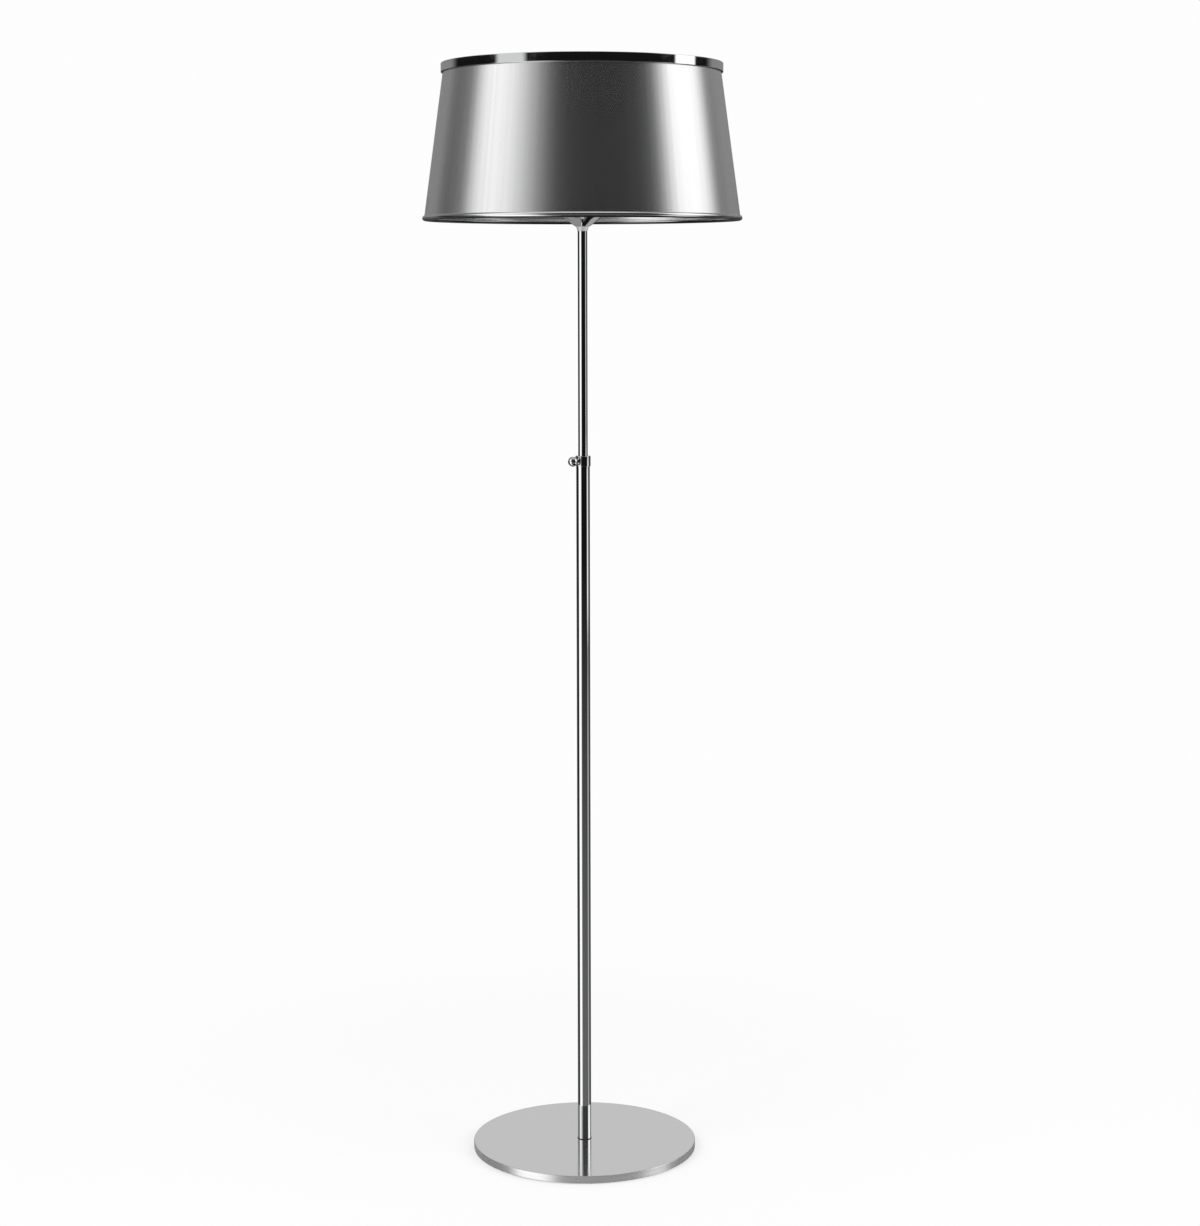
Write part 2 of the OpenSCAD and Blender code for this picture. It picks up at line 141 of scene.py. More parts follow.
def rounded(outline: Sequence[Corner], closed: bool, steps: int = 4) -> list[tuple[float, float]]:
    """Replace each corner that has a fillet by points on its arc.

    Args:
        outline: The corners in order.
        closed: Whether the last corner joins the first.
        steps: How many chords an arc has.

    Returns:
        The outline's points as (radius, height).
    """
    points: list[tuple[float, float]] = []
    last = len(outline) - 1
    for i, corner in enumerate(outline):
        here = Vector((corner.radius, corner.height))
        before = Vector(outline[i - 1][:2]) - here
        after = Vector(outline[(i + 1) % len(outline)][:2]) - here
        plain = corner.fillet == 0 or (not closed and i in (0, last))
        half = 0.0 if plain else before.angle(after) / 2
        if plain or half > STRAIGHT:
            points.append((here.x, here.y))
            continue
        longest = FILLET_REACH * min(before.length, after.length)
        reach = min(corner.fillet / math.tan(half), longest)
        start = here + before.normalized() * reach
        end = here + after.normalized() * reach
        inward = (before.normalized() + after.normalized()).normalized()
        centre = here + inward * (reach / math.cos(half))
        first = start - centre
        sweep = first.angle_signed(end - centre)
        for k in range(steps + 1):
            turned = first.copy()
            turned.rotate(Matrix.Rotation(-sweep * k / steps, 2))
            points.append(tuple(centre + turned))
    return points


def section(inner: float, outer: float, low: float, high: float, *fillets: float) -> list[Corner]:
    """The outline of a ring, with a fillet for its inner foot, outer foot, outer top and inner top."""
    places = ((inner, low), (outer, low), (outer, high), (inner, high))
    return [Corner(*place, fillet) for place, fillet in zip(places, fillets, strict=True)]


def arc(centre: tuple[float, float], radius: float, start: float, end: float, steps: int) -> list[Corner]:
    """Points on an arc, with angles in degrees counted from outward to upward."""
    angles = [math.radians(start + (end - start) * i / steps) for i in range(steps + 1)]
    return [Corner(centre[0] + radius * math.cos(a), centre[1] + radius * math.sin(a)) for a in angles]


def bowed(start: tuple[float, float], end: tuple[float, float], sag: float, steps: int) -> list[Corner]:
    """Points from start to end, drawn aside by sag at the middle.

    Args:
        start: First point as (radius, height).
        end: Last point as (radius, height).
        sag: How far the middle is drawn to the right of the way.
        steps: How many chords the line has.

    Returns:
        The points as corners without a fillet.
    """
    way = Vector(end) - Vector(start)
    side = Vector((way.y, -way.x)).normalized()
    shares = [i / steps for i in range(steps + 1)]
    return [Corner(*(Vector(start) + way * t + side * (sag * 4 * t * (1 - t)))) for t in shares]


# ---- Modelling by operators ----


def clear_selection() -> None:
    """Go to object mode and deselect everything."""
    if bpy.context.object is not None and bpy.context.object.mode != "OBJECT":
        bpy.ops.object.mode_set(mode="OBJECT")
    bpy.ops.object.select_all(action="DESELECT")


def activate(*pieces: Piece) -> None:
    """Make some pieces the only selected ones, and the first of them the active one.

    Args:
        pieces: The pieces.
    """
    clear_selection()
    for piece in pieces:
        piece.select_set(True)
    bpy.context.view_layer.objects.active = pieces[0]


@contextmanager
def editing(piece: Piece) -> Iterator[None]:
    """Hold a piece in edit mode for the length of a with block.

    Args:
        piece: The object to edit.

    Yields:
        Nothing, once the piece is in edit mode.
    """
    activate(piece)
    bpy.ops.object.mode_set(mode="EDIT")
    yield
    bpy.ops.object.mode_set(mode="OBJECT")


def choose(piece: Piece, kind: str, test: Callable[[Any], bool]) -> None:
    """Select the parts of a mesh in edit mode that pass a test.

    Args:
        piece: The object in edit mode.
        kind: VERT, EDGE or FACE.
        test: Says whether a bmesh element is selected.
    """
    bpy.ops.mesh.select_mode(type=kind)
    bpy.ops.mesh.select_all(action="DESELECT")
    mesh = bmesh.from_edit_mesh(piece.data)
    for part in {"VERT": mesh.verts, "EDGE": mesh.edges, "FACE": mesh.faces}[kind]:
        if test(part):
            part.select_set(True)
    mesh.select_flush_mode()
    bmesh.update_edit_mesh(piece.data)


def slice_at(*heights: float) -> None:
    """Cut level edges into the mesh in edit mode.

    Args:
        heights: Height of each cut.
    """
    for height in heights:
        bpy.ops.mesh.select_all(action="SELECT")
        bpy.ops.mesh.bisect(plane_co=(0, 0, height), plane_no=(0, 0, 1))


def place(piece: Piece, at: Vector | tuple = (0, 0, 0), turn_by: Turns = (0, 0, 0)) -> None:
    """Turn and move a piece, and put that place into its mesh.

    Args:
        piece: The object to place.
        at: Where its origin goes.
        turn_by: Its turns about X, Y and Z in radians.
    """
    piece.location = at
    piece.rotation_euler = turn_by
    activate(piece)
    bpy.ops.object.transform_apply(location=True, rotation=True, scale=True)


def copied(piece: Piece, at: Vector | tuple = (0, 0, 0), turn_by: Turns = (0, 0, 0)) -> Piece:
    """Copy a piece with its own mesh, and place the copy.

    Args:
        piece: The object to copy.
        at: Where the copy's origin goes.
        turn_by: The copy's turns about X, Y and Z in radians.

    Returns:
        The copy.
    """
    activate(piece)
    bpy.ops.object.duplicate(linked=False)
    copy = bpy.context.object
    place(copy, at, turn_by)
    return copy


def turn(
    name: str,
    outline: Sequence[Corner],
    steps: Steps,
    start: float = 0.0,
    span: float = FULL_TURN,
    faces: int = 0,
) -> Piece:
    """Turn an outline round the Z axis, as on a lathe.

    An outline that starts and ends on the axis is left open, and any other is closed.

    Args:
        name: Name of the new object.
        outline: The corners of the outline.
        steps: How many faces go round a full turn.
        start: Azimuth at which the turn starts, in radians from +X.
        span: How far it turns. Less than a full turn gets closed ends.
        faces: How many faces it has in all, in place of its share of steps.

    Returns:
        The finished mesh object.
    """
    on_axis = outline[0].radius == 0 and outline[-1].radius == 0
    points = rounded(outline, closed=not on_axis)
    clear_selection()
    bpy.ops.mesh.primitive_plane_add(size=MM, location=(points[0][0], 0, points[0][1]))
    piece = bpy.context.object
    piece.name = piece.data.name = name
    bpy.ops.object.transform_apply(location=True)
    count = faces or max(2, round(steps.value * span / FULL_TURN))
    with editing(piece):
        bpy.ops.mesh.select_mode(type="VERT")
        bpy.ops.mesh.select_all(action="SELECT")
        bpy.ops.mesh.merge(type="CENTER")
        for here, there in pairwise(points):
            move = (there[0] - here[0], 0, there[1] - here[1])
            bpy.ops.mesh.extrude_region_move(TRANSFORM_OT_translate={"value": move})
        if not on_axis:
            ends = (0, len(points) - 1)
            choose(piece, "VERT", lambda v: v.index in ends)
            bpy.ops.mesh.edge_face_add()
        bpy.ops.mesh.select_all(action="SELECT")
        # A positive angle would spin clockwise
        bpy.ops.mesh.spin(steps=count, angle=-span, center=(0, 0, 0), axis=(0, 0, 1))
        bpy.ops.mesh.select_all(action="SELECT")
        bpy.ops.mesh.remove_doubles(threshold=WELD)
        if span < FULL_TURN:
            choose(piece, "EDGE", lambda e: e.is_boundary)
            bpy.ops.mesh.fill_holes(sides=0)
        bpy.ops.mesh.select_all(action="SELECT")
        bpy.ops.mesh.normals_make_consistent(inside=False)
    if start:
        place(piece, turn_by=(0, 0, start))
    return piece


def add_modifier(piece: Piece, kind: str, **settings: Any) -> None:
    """Add a modifier with its settings and apply it.

    Args:
        piece: The object that it shapes.
        kind: The modifier's type.
        settings: Its properties by name.
    """
    activate(piece)
    bpy.ops.object.modifier_add(type=kind)
    modifier = piece.modifiers[-1]
    for key, value in settings.items():
        setattr(modifier, key, value)
    bpy.ops.object.modifier_apply(modifier=modifier.name)


def combine(piece: Piece, tool: Piece, operation: str = "DIFFERENCE") -> None:
    """Cut a piece by a tool, or unite them, and take the tool away."""
    add_modifier(piece, "BOOLEAN", object=tool, operation=operation, solver="EXACT")
    bpy.data.objects.remove(tool)


def bore(
    piece: Piece, radius: float, length: float, middle: Vector, turn_by: Turns = (0, 0, 0), sides: int = 48
) -> None:
    """Bore a round hole into a piece.

    Args:
        piece: The object that gets the hole.
        radius: The hole's radius.
        length: Its length.
        middle: The middle of its length.
        turn_by: Its turns about X, Y and Z in radians, from upright.
        sides: How many sides it has.
    """
    clear_selection()
    bpy.ops.mesh.primitive_cylinder_add(
        vertices=sides, radius=radius, depth=length, location=middle, rotation=turn_by
    )
    combine(piece, bpy.context.object)


def join(pieces: Sequence[Piece]) -> Piece:
    """Join objects into the first one, which keeps its name.

    Args:
        pieces: The objects.

    Returns:
        The joined object.
    """
    activate(*pieces)
    bpy.ops.object.join()
    return pieces[0]


def azimuth(point: Vector) -> float:
    """Direction of a point round the pole, in radians from +X."""
    return math.atan2(point.y, point.x)


def flute(piece: Piece, wall: float, low: float, high: float, count: int, depth: float, land: float) -> None:
    """Sink upright grip flutes into the outer wall of a turned piece.

    Args:
        piece: The turned piece.
        wall: Radius of the wall.
        low: Lowest height of the flutes.
        high: Highest height of the flutes.
        count: How many flutes go round.
        depth: How deep they are.
        land: Share of the pitch that stays proud.
    """
    pitch = FULL_TURN / count
    slack = 0.2 * MM
    side = 0.45 * depth

    def sunk(face: bmesh.types.BMFace) -> bool:
        """Say whether a face lies on the wall, in a flute.

        Args:
            face: The face.

        Returns:
            Whether it is sunk.
        """
        middle = face.calc_center_median()
        on_wall = abs(middle.xy.length - wall) < slack and abs(face.normal.z) < UPRIGHT_RISE
        return on_wall and low < middle.z < high and (azimuth(middle) % pitch) / pitch > land

    with editing(piece):
        slice_at(low, high)
        choose(piece, "FACE", sunk)
        bpy.ops.mesh.inset(thickness=side, depth=-depth)


# ---- Shader graphs ----


class Graph:
    """Adds nodes to one shader tree and links their sockets."""

    def __init__(self, tree: Tree) -> None:
        """Take a tree and empty it."""
        self.tree = tree
        tree.nodes.clear()

    def node(self, kind: str, inputs: dict[str | int, Any] | None = None, **settings: Any) -> bpy.types.Node:
        """Add a node.

        Args:
            kind: The node's type without the ShaderNode prefix.
            inputs: A value, or a socket to link, for each input by name or place.
            settings: The node's properties by name.

        Returns:
            The new node.
        """
        made = self.tree.nodes.new("ShaderNode" + kind)
        for key, value in settings.items():
            setattr(made, key, value)
        for key, value in (inputs or {}).items():
            if isinstance(value, Socket):
                self.tree.links.new(value, made.inputs[key])
            else:
                made.inputs[key].default_value = value
        return made

    def math(self, operation: str, *values: Any, clamp: bool = False) -> Socket:
        """Add a Math node and return its output."""
        return self.node("Math", dict(enumerate(values)), operation=operation, use_clamp=clamp).outputs[0]

    def times(self, *values: Any) -> Socket:
        """Multiply some values."""
        return reduce(partial(self.math, "MULTIPLY"), values)

    def largest(self, *values: Any) -> Socket:
        """Take the largest of some values."""
        return reduce(partial(self.math, "MAXIMUM"), values)

    def inverse(self, value: Socket) -> Socket:
        """Take a value from one."""
        return self.math("SUBTRACT", 1.0, value)

    def vector(self, operation: str, *values: Any, result: str = "Vector") -> Socket:
        """Add a Vector Math node and return its vector or its value."""
        return self.node("VectorMath", dict(enumerate(values)), operation=operation).outputs[result]

    def scaled(self, value: Socket, factor: Any) -> Socket:
        """Scale a vector by a value."""
        return self.node("VectorMath", {0: value, 3: factor}, operation="SCALE").outputs[0]

    def parts(self, value: Socket) -> bpy.types.NodeOutputs:
        """Take a vector apart into X, Y and Z."""
        return self.node("SeparateXYZ", {0: value}).outputs

    def joined(self, x: Any = 0.0, y: Any = 0.0, z: Any = 0.0) -> Socket:
        """Put X, Y and Z together into a vector."""
        return self.node("CombineXYZ", {0: x, 1: y, 2: z}).outputs[0]

    def noise(self, here: Any, scale: Any, detail: float = 2.0, roughness: float = 0.5) -> Socket:
        """Add a Noise node and return its value."""
        inputs = {"Vector": here, "Scale": scale, "Detail": detail, "Roughness": roughness}
        return self.node("TexNoise", inputs).outputs[0]

    def span(self, value: Any, low: Any, high: Any, to_low: Any = 0.0, to_high: Any = 1.0) -> Socket:
        """Map a value from one range to another with soft ends, and return the result."""
        inputs = {"Value": value, 1: low, 2: high, 3: to_low, 4: to_high}
        return self.node("MapRange", inputs, interpolation_type="SMOOTHSTEP").outputs[0]

    def blend(self, share: Any, a: Any, b: Any) -> Socket:
        """Mix two colours, each a socket or three numbers, and return the result."""
        first, second = (value if isinstance(value, Socket) else (*value, 1.0) for value in (a, b))
        return self.node("Mix", {0: share, 6: first, 7: second}, data_type="RGBA").outputs[2]

    def bump(self, height: Socket, distance: float, **more: Socket) -> Socket:
        """Add a Bump node and return its normal."""
        return self.node("Bump", {"Height": height, "Strength": 1.0, "Distance": distance} | more).outputs[0]

    def group(self, tree: Tree, **inputs: Any) -> bpy.types.NodeOutputs:
        """Add a shared group, with its inputs by name, and return its outputs."""
        return self.node("Group", inputs, node_tree=tree).outputs

    def seen(self) -> Socket:
        """Whether a ray comes from the camera, straight or through glass."""
        rays = self.node("LightPath").outputs
        return self.largest(rays["Is Camera Ray"], rays["Is Transmission Ray"])


class SharedGraph(Graph):
    """A shader node group with named sockets."""

    def __init__(self, name: str, vectors: list[str], values: list[str], results: list[str]) -> None:
        """Start the group.

        Args:
            name: The group's name.
            vectors: Names of the inputs that take a vector.
            values: Names of the inputs that take a number.
            results: Names of the outputs, which are numbers.
        """
        super().__init__(bpy.data.node_groups.new(name, "ShaderNodeTree"))
        sockets = (("INPUT", "Vector", vectors), ("INPUT", "Float", values), ("OUTPUT", "Float", results))
        for way, kind, names in sockets:
            for socket in names:
                self.tree.interface.new_socket(name=socket, in_out=way, socket_type="NodeSocket" + kind)
        self.given = self.tree.nodes.new("NodeGroupInput").outputs
        self.made = self.tree.nodes.new("NodeGroupOutput").inputs

    def give(self, **values: Socket) -> Tree:
        """Put values out by name, and return the finished group.

        Args:
            values: A socket for each output.

        Returns:
            The group's tree.
        """
        for name, value in values.items():
            self.tree.links.new(value, self.made[name])
        return self.tree


class Effects:
    """The shader node groups that several finishes share. Each is built once."""

    def __init__(self) -> None:
        """Build every group."""
        self.upright = self._upright()
        self.turned = self._turned()
        self.handled = self._handled()
        self.dust = self._dust()
        self.worn = self._worn()
        self.fold = self._fold()

    @staticmethod
    def _upright() -> Tree:
        """Fine lines that run up a round piece, whatever its radius.

        Returns:
            The group.
        """
        graph = SharedGraph("upright_grain", ["Place"], ["Around", "Along"], ["Lines"])
        x, y, z = graph.parts(graph.given["Place"])
        around = graph.scaled(graph.vector("NORMALIZE", graph.joined(x, y)), graph.given["Around"])
        up = graph.joined(z=graph.times(z, graph.given["Along"]))
        lines = graph.noise(graph.vector("ADD", around, up), 1.0, detail=4.0, roughness=0.6)
        return graph.give(Lines=lines)

    @staticmethod
    def _turned() -> Tree:
        """Fine lines that run round the pole, as a lathe leaves them.

        Returns:
            The group.
        """
        graph = SharedGraph("turned_grain", ["Place"], ["Fineness"], ["Lines"])
        x, y, z = graph.parts(graph.given["Place"])
        flat = graph.joined(x, y)
        across = graph.joined(graph.vector("LENGTH", flat, result="Value"), z)
        fine = graph.scaled(across, graph.given["Fineness"])
        around = graph.vector("NORMALIZE", flat)
        lines = graph.noise(graph.vector("ADD", fine, around), 1.0, detail=4.0, roughness=0.6)
        return graph.give(Lines=lines)

    @staticmethod
    def _handled() -> Tree:
        """Patches where a hand or a cloth has passed.

        Returns:
            The group.
        """
        graph = SharedGraph("handled", ["Place"], ["Scale"], ["Smudge", "Swell"])
        here, scale = graph.given["Place"], graph.given["Scale"]
        wide = graph.noise(here, scale, detail=1.0)
        fine = graph.noise(here, graph.times(scale, 9.0), detail=3.0)
        smudge = graph.times(graph.span(wide, 0.42, 0.68), graph.span(fine, 0.3, 0.75))
        return graph.give(Smudge=smudge, Swell=wide)

    @staticmethod
    def _dust() -> Tree:
        """Thin dust on what faces up.

        Returns:
            The group.
        """
        graph = SharedGraph("dust", ["Place"], ["Amount"], ["Mask"])
        here = graph.given["Place"]
        up = graph.span(graph.parts(graph.node("NewGeometry").outputs["Normal"])[2], 0.35, 1.0)
        specks = graph.span(graph.noise(here, 900.0, detail=6.0, roughness=0.7), 0.4, 0.8)
        patches = graph.span(graph.noise(here, 22.0), 0.3, 0.75)
        return graph.give(Mask=graph.times(up, specks, patches, graph.given["Amount"]))

    @staticmethod
    def _worn() -> Tree:
        """Rubbed edges: where the surface bends outward, broken up by noise.

        Returns:
            The group.
        """
        graph = SharedGraph("worn_edges", ["Place"], ["Amount"], ["Mask"])
        bent = graph.span(graph.node("NewGeometry").outputs["Pointiness"], 0.505, 0.56)
        broken = graph.span(graph.noise(graph.given["Place"], 380.0, detail=5.0), 0.35, 0.7)
        return graph.give(Mask=graph.times(bent, broken, graph.given["Amount"]))

    @staticmethod
    def _fold() -> Tree:
        """Painted shade on a rolled edge: darkens what faces down, and at rest more of it on the pole's
        side.

        Returns:
            The group.
        """
        graph = SharedGraph("fold", ["Place"], ["Amount"], ["Mask"])
        normal = graph.node("NewGeometry").outputs["Normal"]
        flat = graph.vector("MULTIPLY", graph.given["Place"], (1.0, 1.0, 0.0))
        outward = graph.vector("DOT_PRODUCT", graph.vector("NORMALIZE", flat), normal, result="Value")
        facing = graph.math("MULTIPLY_ADD", outward, 0.2, graph.parts(normal)[2])
        down = graph.span(facing, -0.5, -0.25, 1.0, 0.0)
        return graph.give(Mask=graph.times(down, graph.given["Amount"]))


# ---- Finishes ----


class Grain(Enum):
    """Which way the fine lines of a metal run."""

    UPRIGHT = "upright"
    TURNED = "turned"


def start_material(name: str) -> tuple[bpy.types.Material, Graph, Socket]:
    """Start a material.

    Args:
        name: The material's name.

    Returns:
        The material, its graph and its object coordinates.
    """
    material = bpy.data.materials.new(name)
    material.use_nodes = True
    graph = Graph(material.node_tree)
    return material, graph, graph.node("TexCoord").outputs["Object"]


def finish_material(graph: Graph, shader: bpy.types.Node) -> None:
    """Link a shader to the material's output."""
    graph.node("OutputMaterial", {"Surface": shader.outputs[0]})


@dataclass(frozen=True)
class Finish:
    """What every finish has: its tone, its polish, its dust and its rubbed edges."""

    name: str
    colour: Colour
    roughness: float
    variation: float = 0.03
    smudge: float = 0.05
    dust: float = 0.0
    dust_colour: Colour = (0.55, 0.54, 0.52)
    wear: float = 0.0
    wear_colour: Colour = (0.9, 0.9, 0.9)

    def tone(self, graph: Graph, effects: Effects, here: Socket, pattern: Socket) -> tuple[Socket, Socket]:
        """Tone the colour by a pattern, rub its edges and lay dust on it.

        Args:
            graph: The material's graph.
            effects: The shared node groups.
            here: The object coordinates.
            pattern: How far the tone goes from dark to light.

        Returns:
            The colour, and the mask of the dust.
        """
        dark, light = ([min(1.0, c * (1 + side * self.variation)) for c in self.colour] for side in (-1, 1))
        worn = graph.group(effects.worn, Place=here, Amount=self.wear)["Mask"]
        dust = graph.group(effects.dust, Place=here, Amount=self.dust)["Mask"]
        rubbed = graph.blend(worn, graph.blend(pattern, dark, light), self.wear_colour)
        return graph.blend(dust, rubbed, self.dust_colour), dust


@dataclass(frozen=True)
class Metal(Finish):
    """A metal finish, with its grain and its signs of handling."""

    smudge_scale: float = 14.0
    grain: Grain = Grain.TURNED
    fineness: float = 2500.0
    along: float = 3.0
    grain_depth: float = 0.001 * MM
    swell_depth: float = 0.004 * MM
    metallic: float = 1.0
    # How strongly painted shade darkens what faces down, and the colour it darkens to
    fold: float = 0.0
    fold_colour: Colour = (0.03, 0.03, 0.03)

    def build(self, effects: Effects) -> bpy.types.Material:
        """Make the material.

        Args:
            effects: The shared node groups.

        Returns:
            The metal material.
        """
        material, graph, here = start_material(self.name)
        if self.grain is Grain.UPRIGHT:
            lines = graph.group(effects.upright, Place=here, Around=self.fineness, Along=self.along)["Lines"]
        else:
            lines = graph.group(effects.turned, Place=here, Fineness=self.fineness)["Lines"]
        handled = graph.group(effects.handled, Place=here, Scale=self.smudge_scale)
        colour, dust = self.tone(graph, effects, here, graph.span(lines, 0.25, 0.75))
        # Painted shade: what faces down on a rolled edge is darkened in the colour
        if self.fold:
            below = graph.group(effects.fold, Place=here, Amount=self.fold)["Mask"]
            colour = graph.blend(below, colour, self.fold_colour)
        smeared = graph.math("MULTIPLY_ADD", handled["Smudge"], self.smudge, self.roughness)
        rough = graph.math("ADD", smeared, graph.times(dust, 0.3), clamp=True)
        normal = graph.bump(handled["Swell"], self.swell_depth, Normal=graph.bump(lines, self.grain_depth))
        inputs = {"Base Color": colour, "Roughness": rough, "Metallic": self.metallic, "Normal": normal}
        finish_material(graph, graph.node("BsdfPrincipled", inputs))
        return material


@dataclass(frozen=True)
class Moulding(Finish):
    """A plastic, rubber, foam or ceramic finish."""

    variation: float = 0.04
    smudge: float = 0.08
    smudge_scale: float = 40.0
    dust: float = 0.15
    dust_colour: Colour = (0.6, 0.59, 0.56)
    wear_colour: Colour = (0.9, 0.9, 0.88)
    mottle_scale: float = 60.0
    pore_scale: float = 1500.0
    pore_depth: float = 0.01 * MM
    coat: float = 0.0

    def build(self, effects: Effects) -> bpy.types.Material:
        """Make the material.

        Args:
            effects: The shared node groups.

        Returns:
            The material of a moulded or fired piece.
        """
        material, graph, here = start_material(self.name)
        mottle = graph.span(graph.noise(here, self.mottle_scale, detail=4.0), 0.3, 0.7)
        colour, _ = self.tone(graph, effects, here, mottle)
        handled = graph.group(effects.handled, Place=here, Scale=self.smudge_scale)["Smudge"]
        rough = graph.math("MULTIPLY_ADD", handled, self.smudge, self.roughness, clamp=True)
        normal = graph.bump(graph.noise(here, self.pore_scale, detail=3.0), self.pore_depth)
        inputs = {"Base Color": colour, "Roughness": rough, "Normal": normal}
        inputs |= {"Coat Weight": self.coat, "Coat Roughness": 0.04}
        finish_material(graph, graph.node("BsdfPrincipled", inputs))
        return material


CHROME: Colour = (0.80, 0.805, 0.81)
FINISHES: tuple[Metal | Moulding, ...] = (
    Metal("chrome_tube", CHROME, 0.035, grain=Grain.UPRIGHT, fineness=60, along=2.0, variation=0.02,
          grain_depth=0.0006 * MM),
    Metal("chrome_fittings", CHROME, 0.045, smudge_scale=60, fineness=3000, variation=0.02,
          grain_depth=0.0003 * MM, swell_depth=0.0015 * MM),
    Metal("satin_ferrule", (0.80, 0.80, 0.80), 0.3, smudge_scale=60, fineness=3000, metallic=0.25),
    # The bead's underside gets painted shade
    Metal("satin_bead", (0.84, 0.84, 0.845), 0.17, smudge_scale=20, fineness=2200, grain_depth=0.0008 * MM,
          fold=0.95),
    Metal("chrome_rim", CHROME, 0.04, fineness=1800, variation=0.02, grain_depth=0.0003 * MM),
    Metal("satin_shade", (0.86, 0.86, 0.865), 0.27, smudge=0.004, smudge_scale=5, grain=Grain.UPRIGHT,
          fineness=34, along=0.8, grain_depth=0.01 * MM),
    Metal("plate_steel", (0.80, 0.80, 0.80), 0.085, smudge=0.03, fineness=1500, variation=0.012,
          grain_depth=0.0004 * MM, dust=0.04, metallic=0.97),
    Metal("plate_edge", (0.86, 0.86, 0.86), 0.27, fineness=2600, variation=0.12, grain_depth=0.015 * MM,
          wear=0.3, metallic=0.75),
    Metal("zinc_steel", (0.62, 0.63, 0.65), 0.24, smudge=0.12, smudge_scale=90, fineness=2000,
          variation=0.06, grain_depth=0.004 * MM, wear=0.4, dust=0.2),
    Metal("bright_brass", (0.78, 0.6, 0.28), 0.2, smudge=0.15, smudge_scale=120, wear=0.3),
    Metal("plated_cap", (0.74, 0.74, 0.72), 0.16, smudge=0.12, smudge_scale=120, wear=0.3),
    Moulding("black_rubber", (0.02, 0.02, 0.021), 0.5, variation=0.2, dust=0.2),
    Moulding("pad_foam", (0.045, 0.045, 0.045), 0.85, variation=0.3, pore_scale=2600, pore_depth=0.06 * MM),
    Moulding("white_nylon", (0.82, 0.82, 0.79), 0.38),
    Moulding("white_thermoset", (0.83, 0.82, 0.785), 0.22, coat=0.3, dust=0.25, wear=0.3),
    Moulding("white_ceramic", (0.86, 0.85, 0.81), 0.55, pore_depth=0.03 * MM),
    Moulding("opal_glass", (0.9, 0.895, 0.88), 0.3, variation=0.01, pore_depth=0.0005 * MM, smudge=0.05,
             dust=0.1, coat=1.0),
)


class Finishes:
    """Every finish of the lamp, built on first use, and shared by the pieces that have it."""

    def __init__(self) -> None:
        """Take the finishes by name."""
        self.effects = Effects()
        self.kinds = {kind.name: kind for kind in FINISHES}
        self.made: dict[str, bpy.types.Material] = {}

    def get(self, name: str) -> bpy.types.Material:
        """Build a finish on first use.

        Args:
            name: The finish's name.

        Returns:
            Its material.
        """
        if name not in self.made:
            self.made[name] = self.kinds[name].build(self.effects)
        return self.made[name]

    def dress(self, piece: Piece, *names: str) -> None:
        """Give a piece its materials.

        Args:
            piece: The piece.
            names: Names of its finishes, in the order of its material slots.
        """
        piece.data.materials.clear()
        for name in names:
            piece.data.materials.append(self.get(name))


@dataclass
class Assembly:
    """What every sub-assembly shares: its CAD body, the finishes, and how a piece joins the frame."""

    finishes: Finishes
    body: ClassVar[str] = "mast"
    # Room between two pieces that fit into each other
    play: ClassVar[float] = 0.05 * MM

    def add(self, piece: Piece, slot: str, *finishes: str) -> None:
        """Finish a piece that stands for the CAD node of its own name.

        Args:
            piece: The modelled piece, named for the node with an added word.
            slot: Name of its finish, where no other is given.
            finishes: Names of its finishes, where they aren't the slot's own.
        """
        activate(piece)
        bpy.ops.object.shade_smooth_by_angle(angle=SMOOTH_ANGLE)
        # Flats beside a rounded edge stay flat in the shading
        add_modifier(piece, "WEIGHTED_NORMAL", keep_sharp=True)
        self.finishes.dress(piece, *(finishes or (slot,)))
        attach(piece, self.body)
        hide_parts(piece.name.removesuffix(LOOK))
        log.info("%s: %d faces, on %s", piece.name, len(piece.data.polygons), self.body)

    def turned(self, node: str, outline: Sequence[Corner], steps: Steps, slot: str, *finishes: str) -> Piece:
        """Turn a piece for a CAD node, and finish it.

        Args:
            node: Name of the node.
            outline: The corners of the piece's outline.
            steps: How many faces go round.
            slot: Name of the piece's finish, where no other is given.
            finishes: Names of its finishes, where they aren't the slot's own.

        Returns:
            The piece.
        """
        piece = turn(node + LOOK, outline, steps)
        self.add(piece, slot, *finishes)
        return piece


# ---- Stand ----


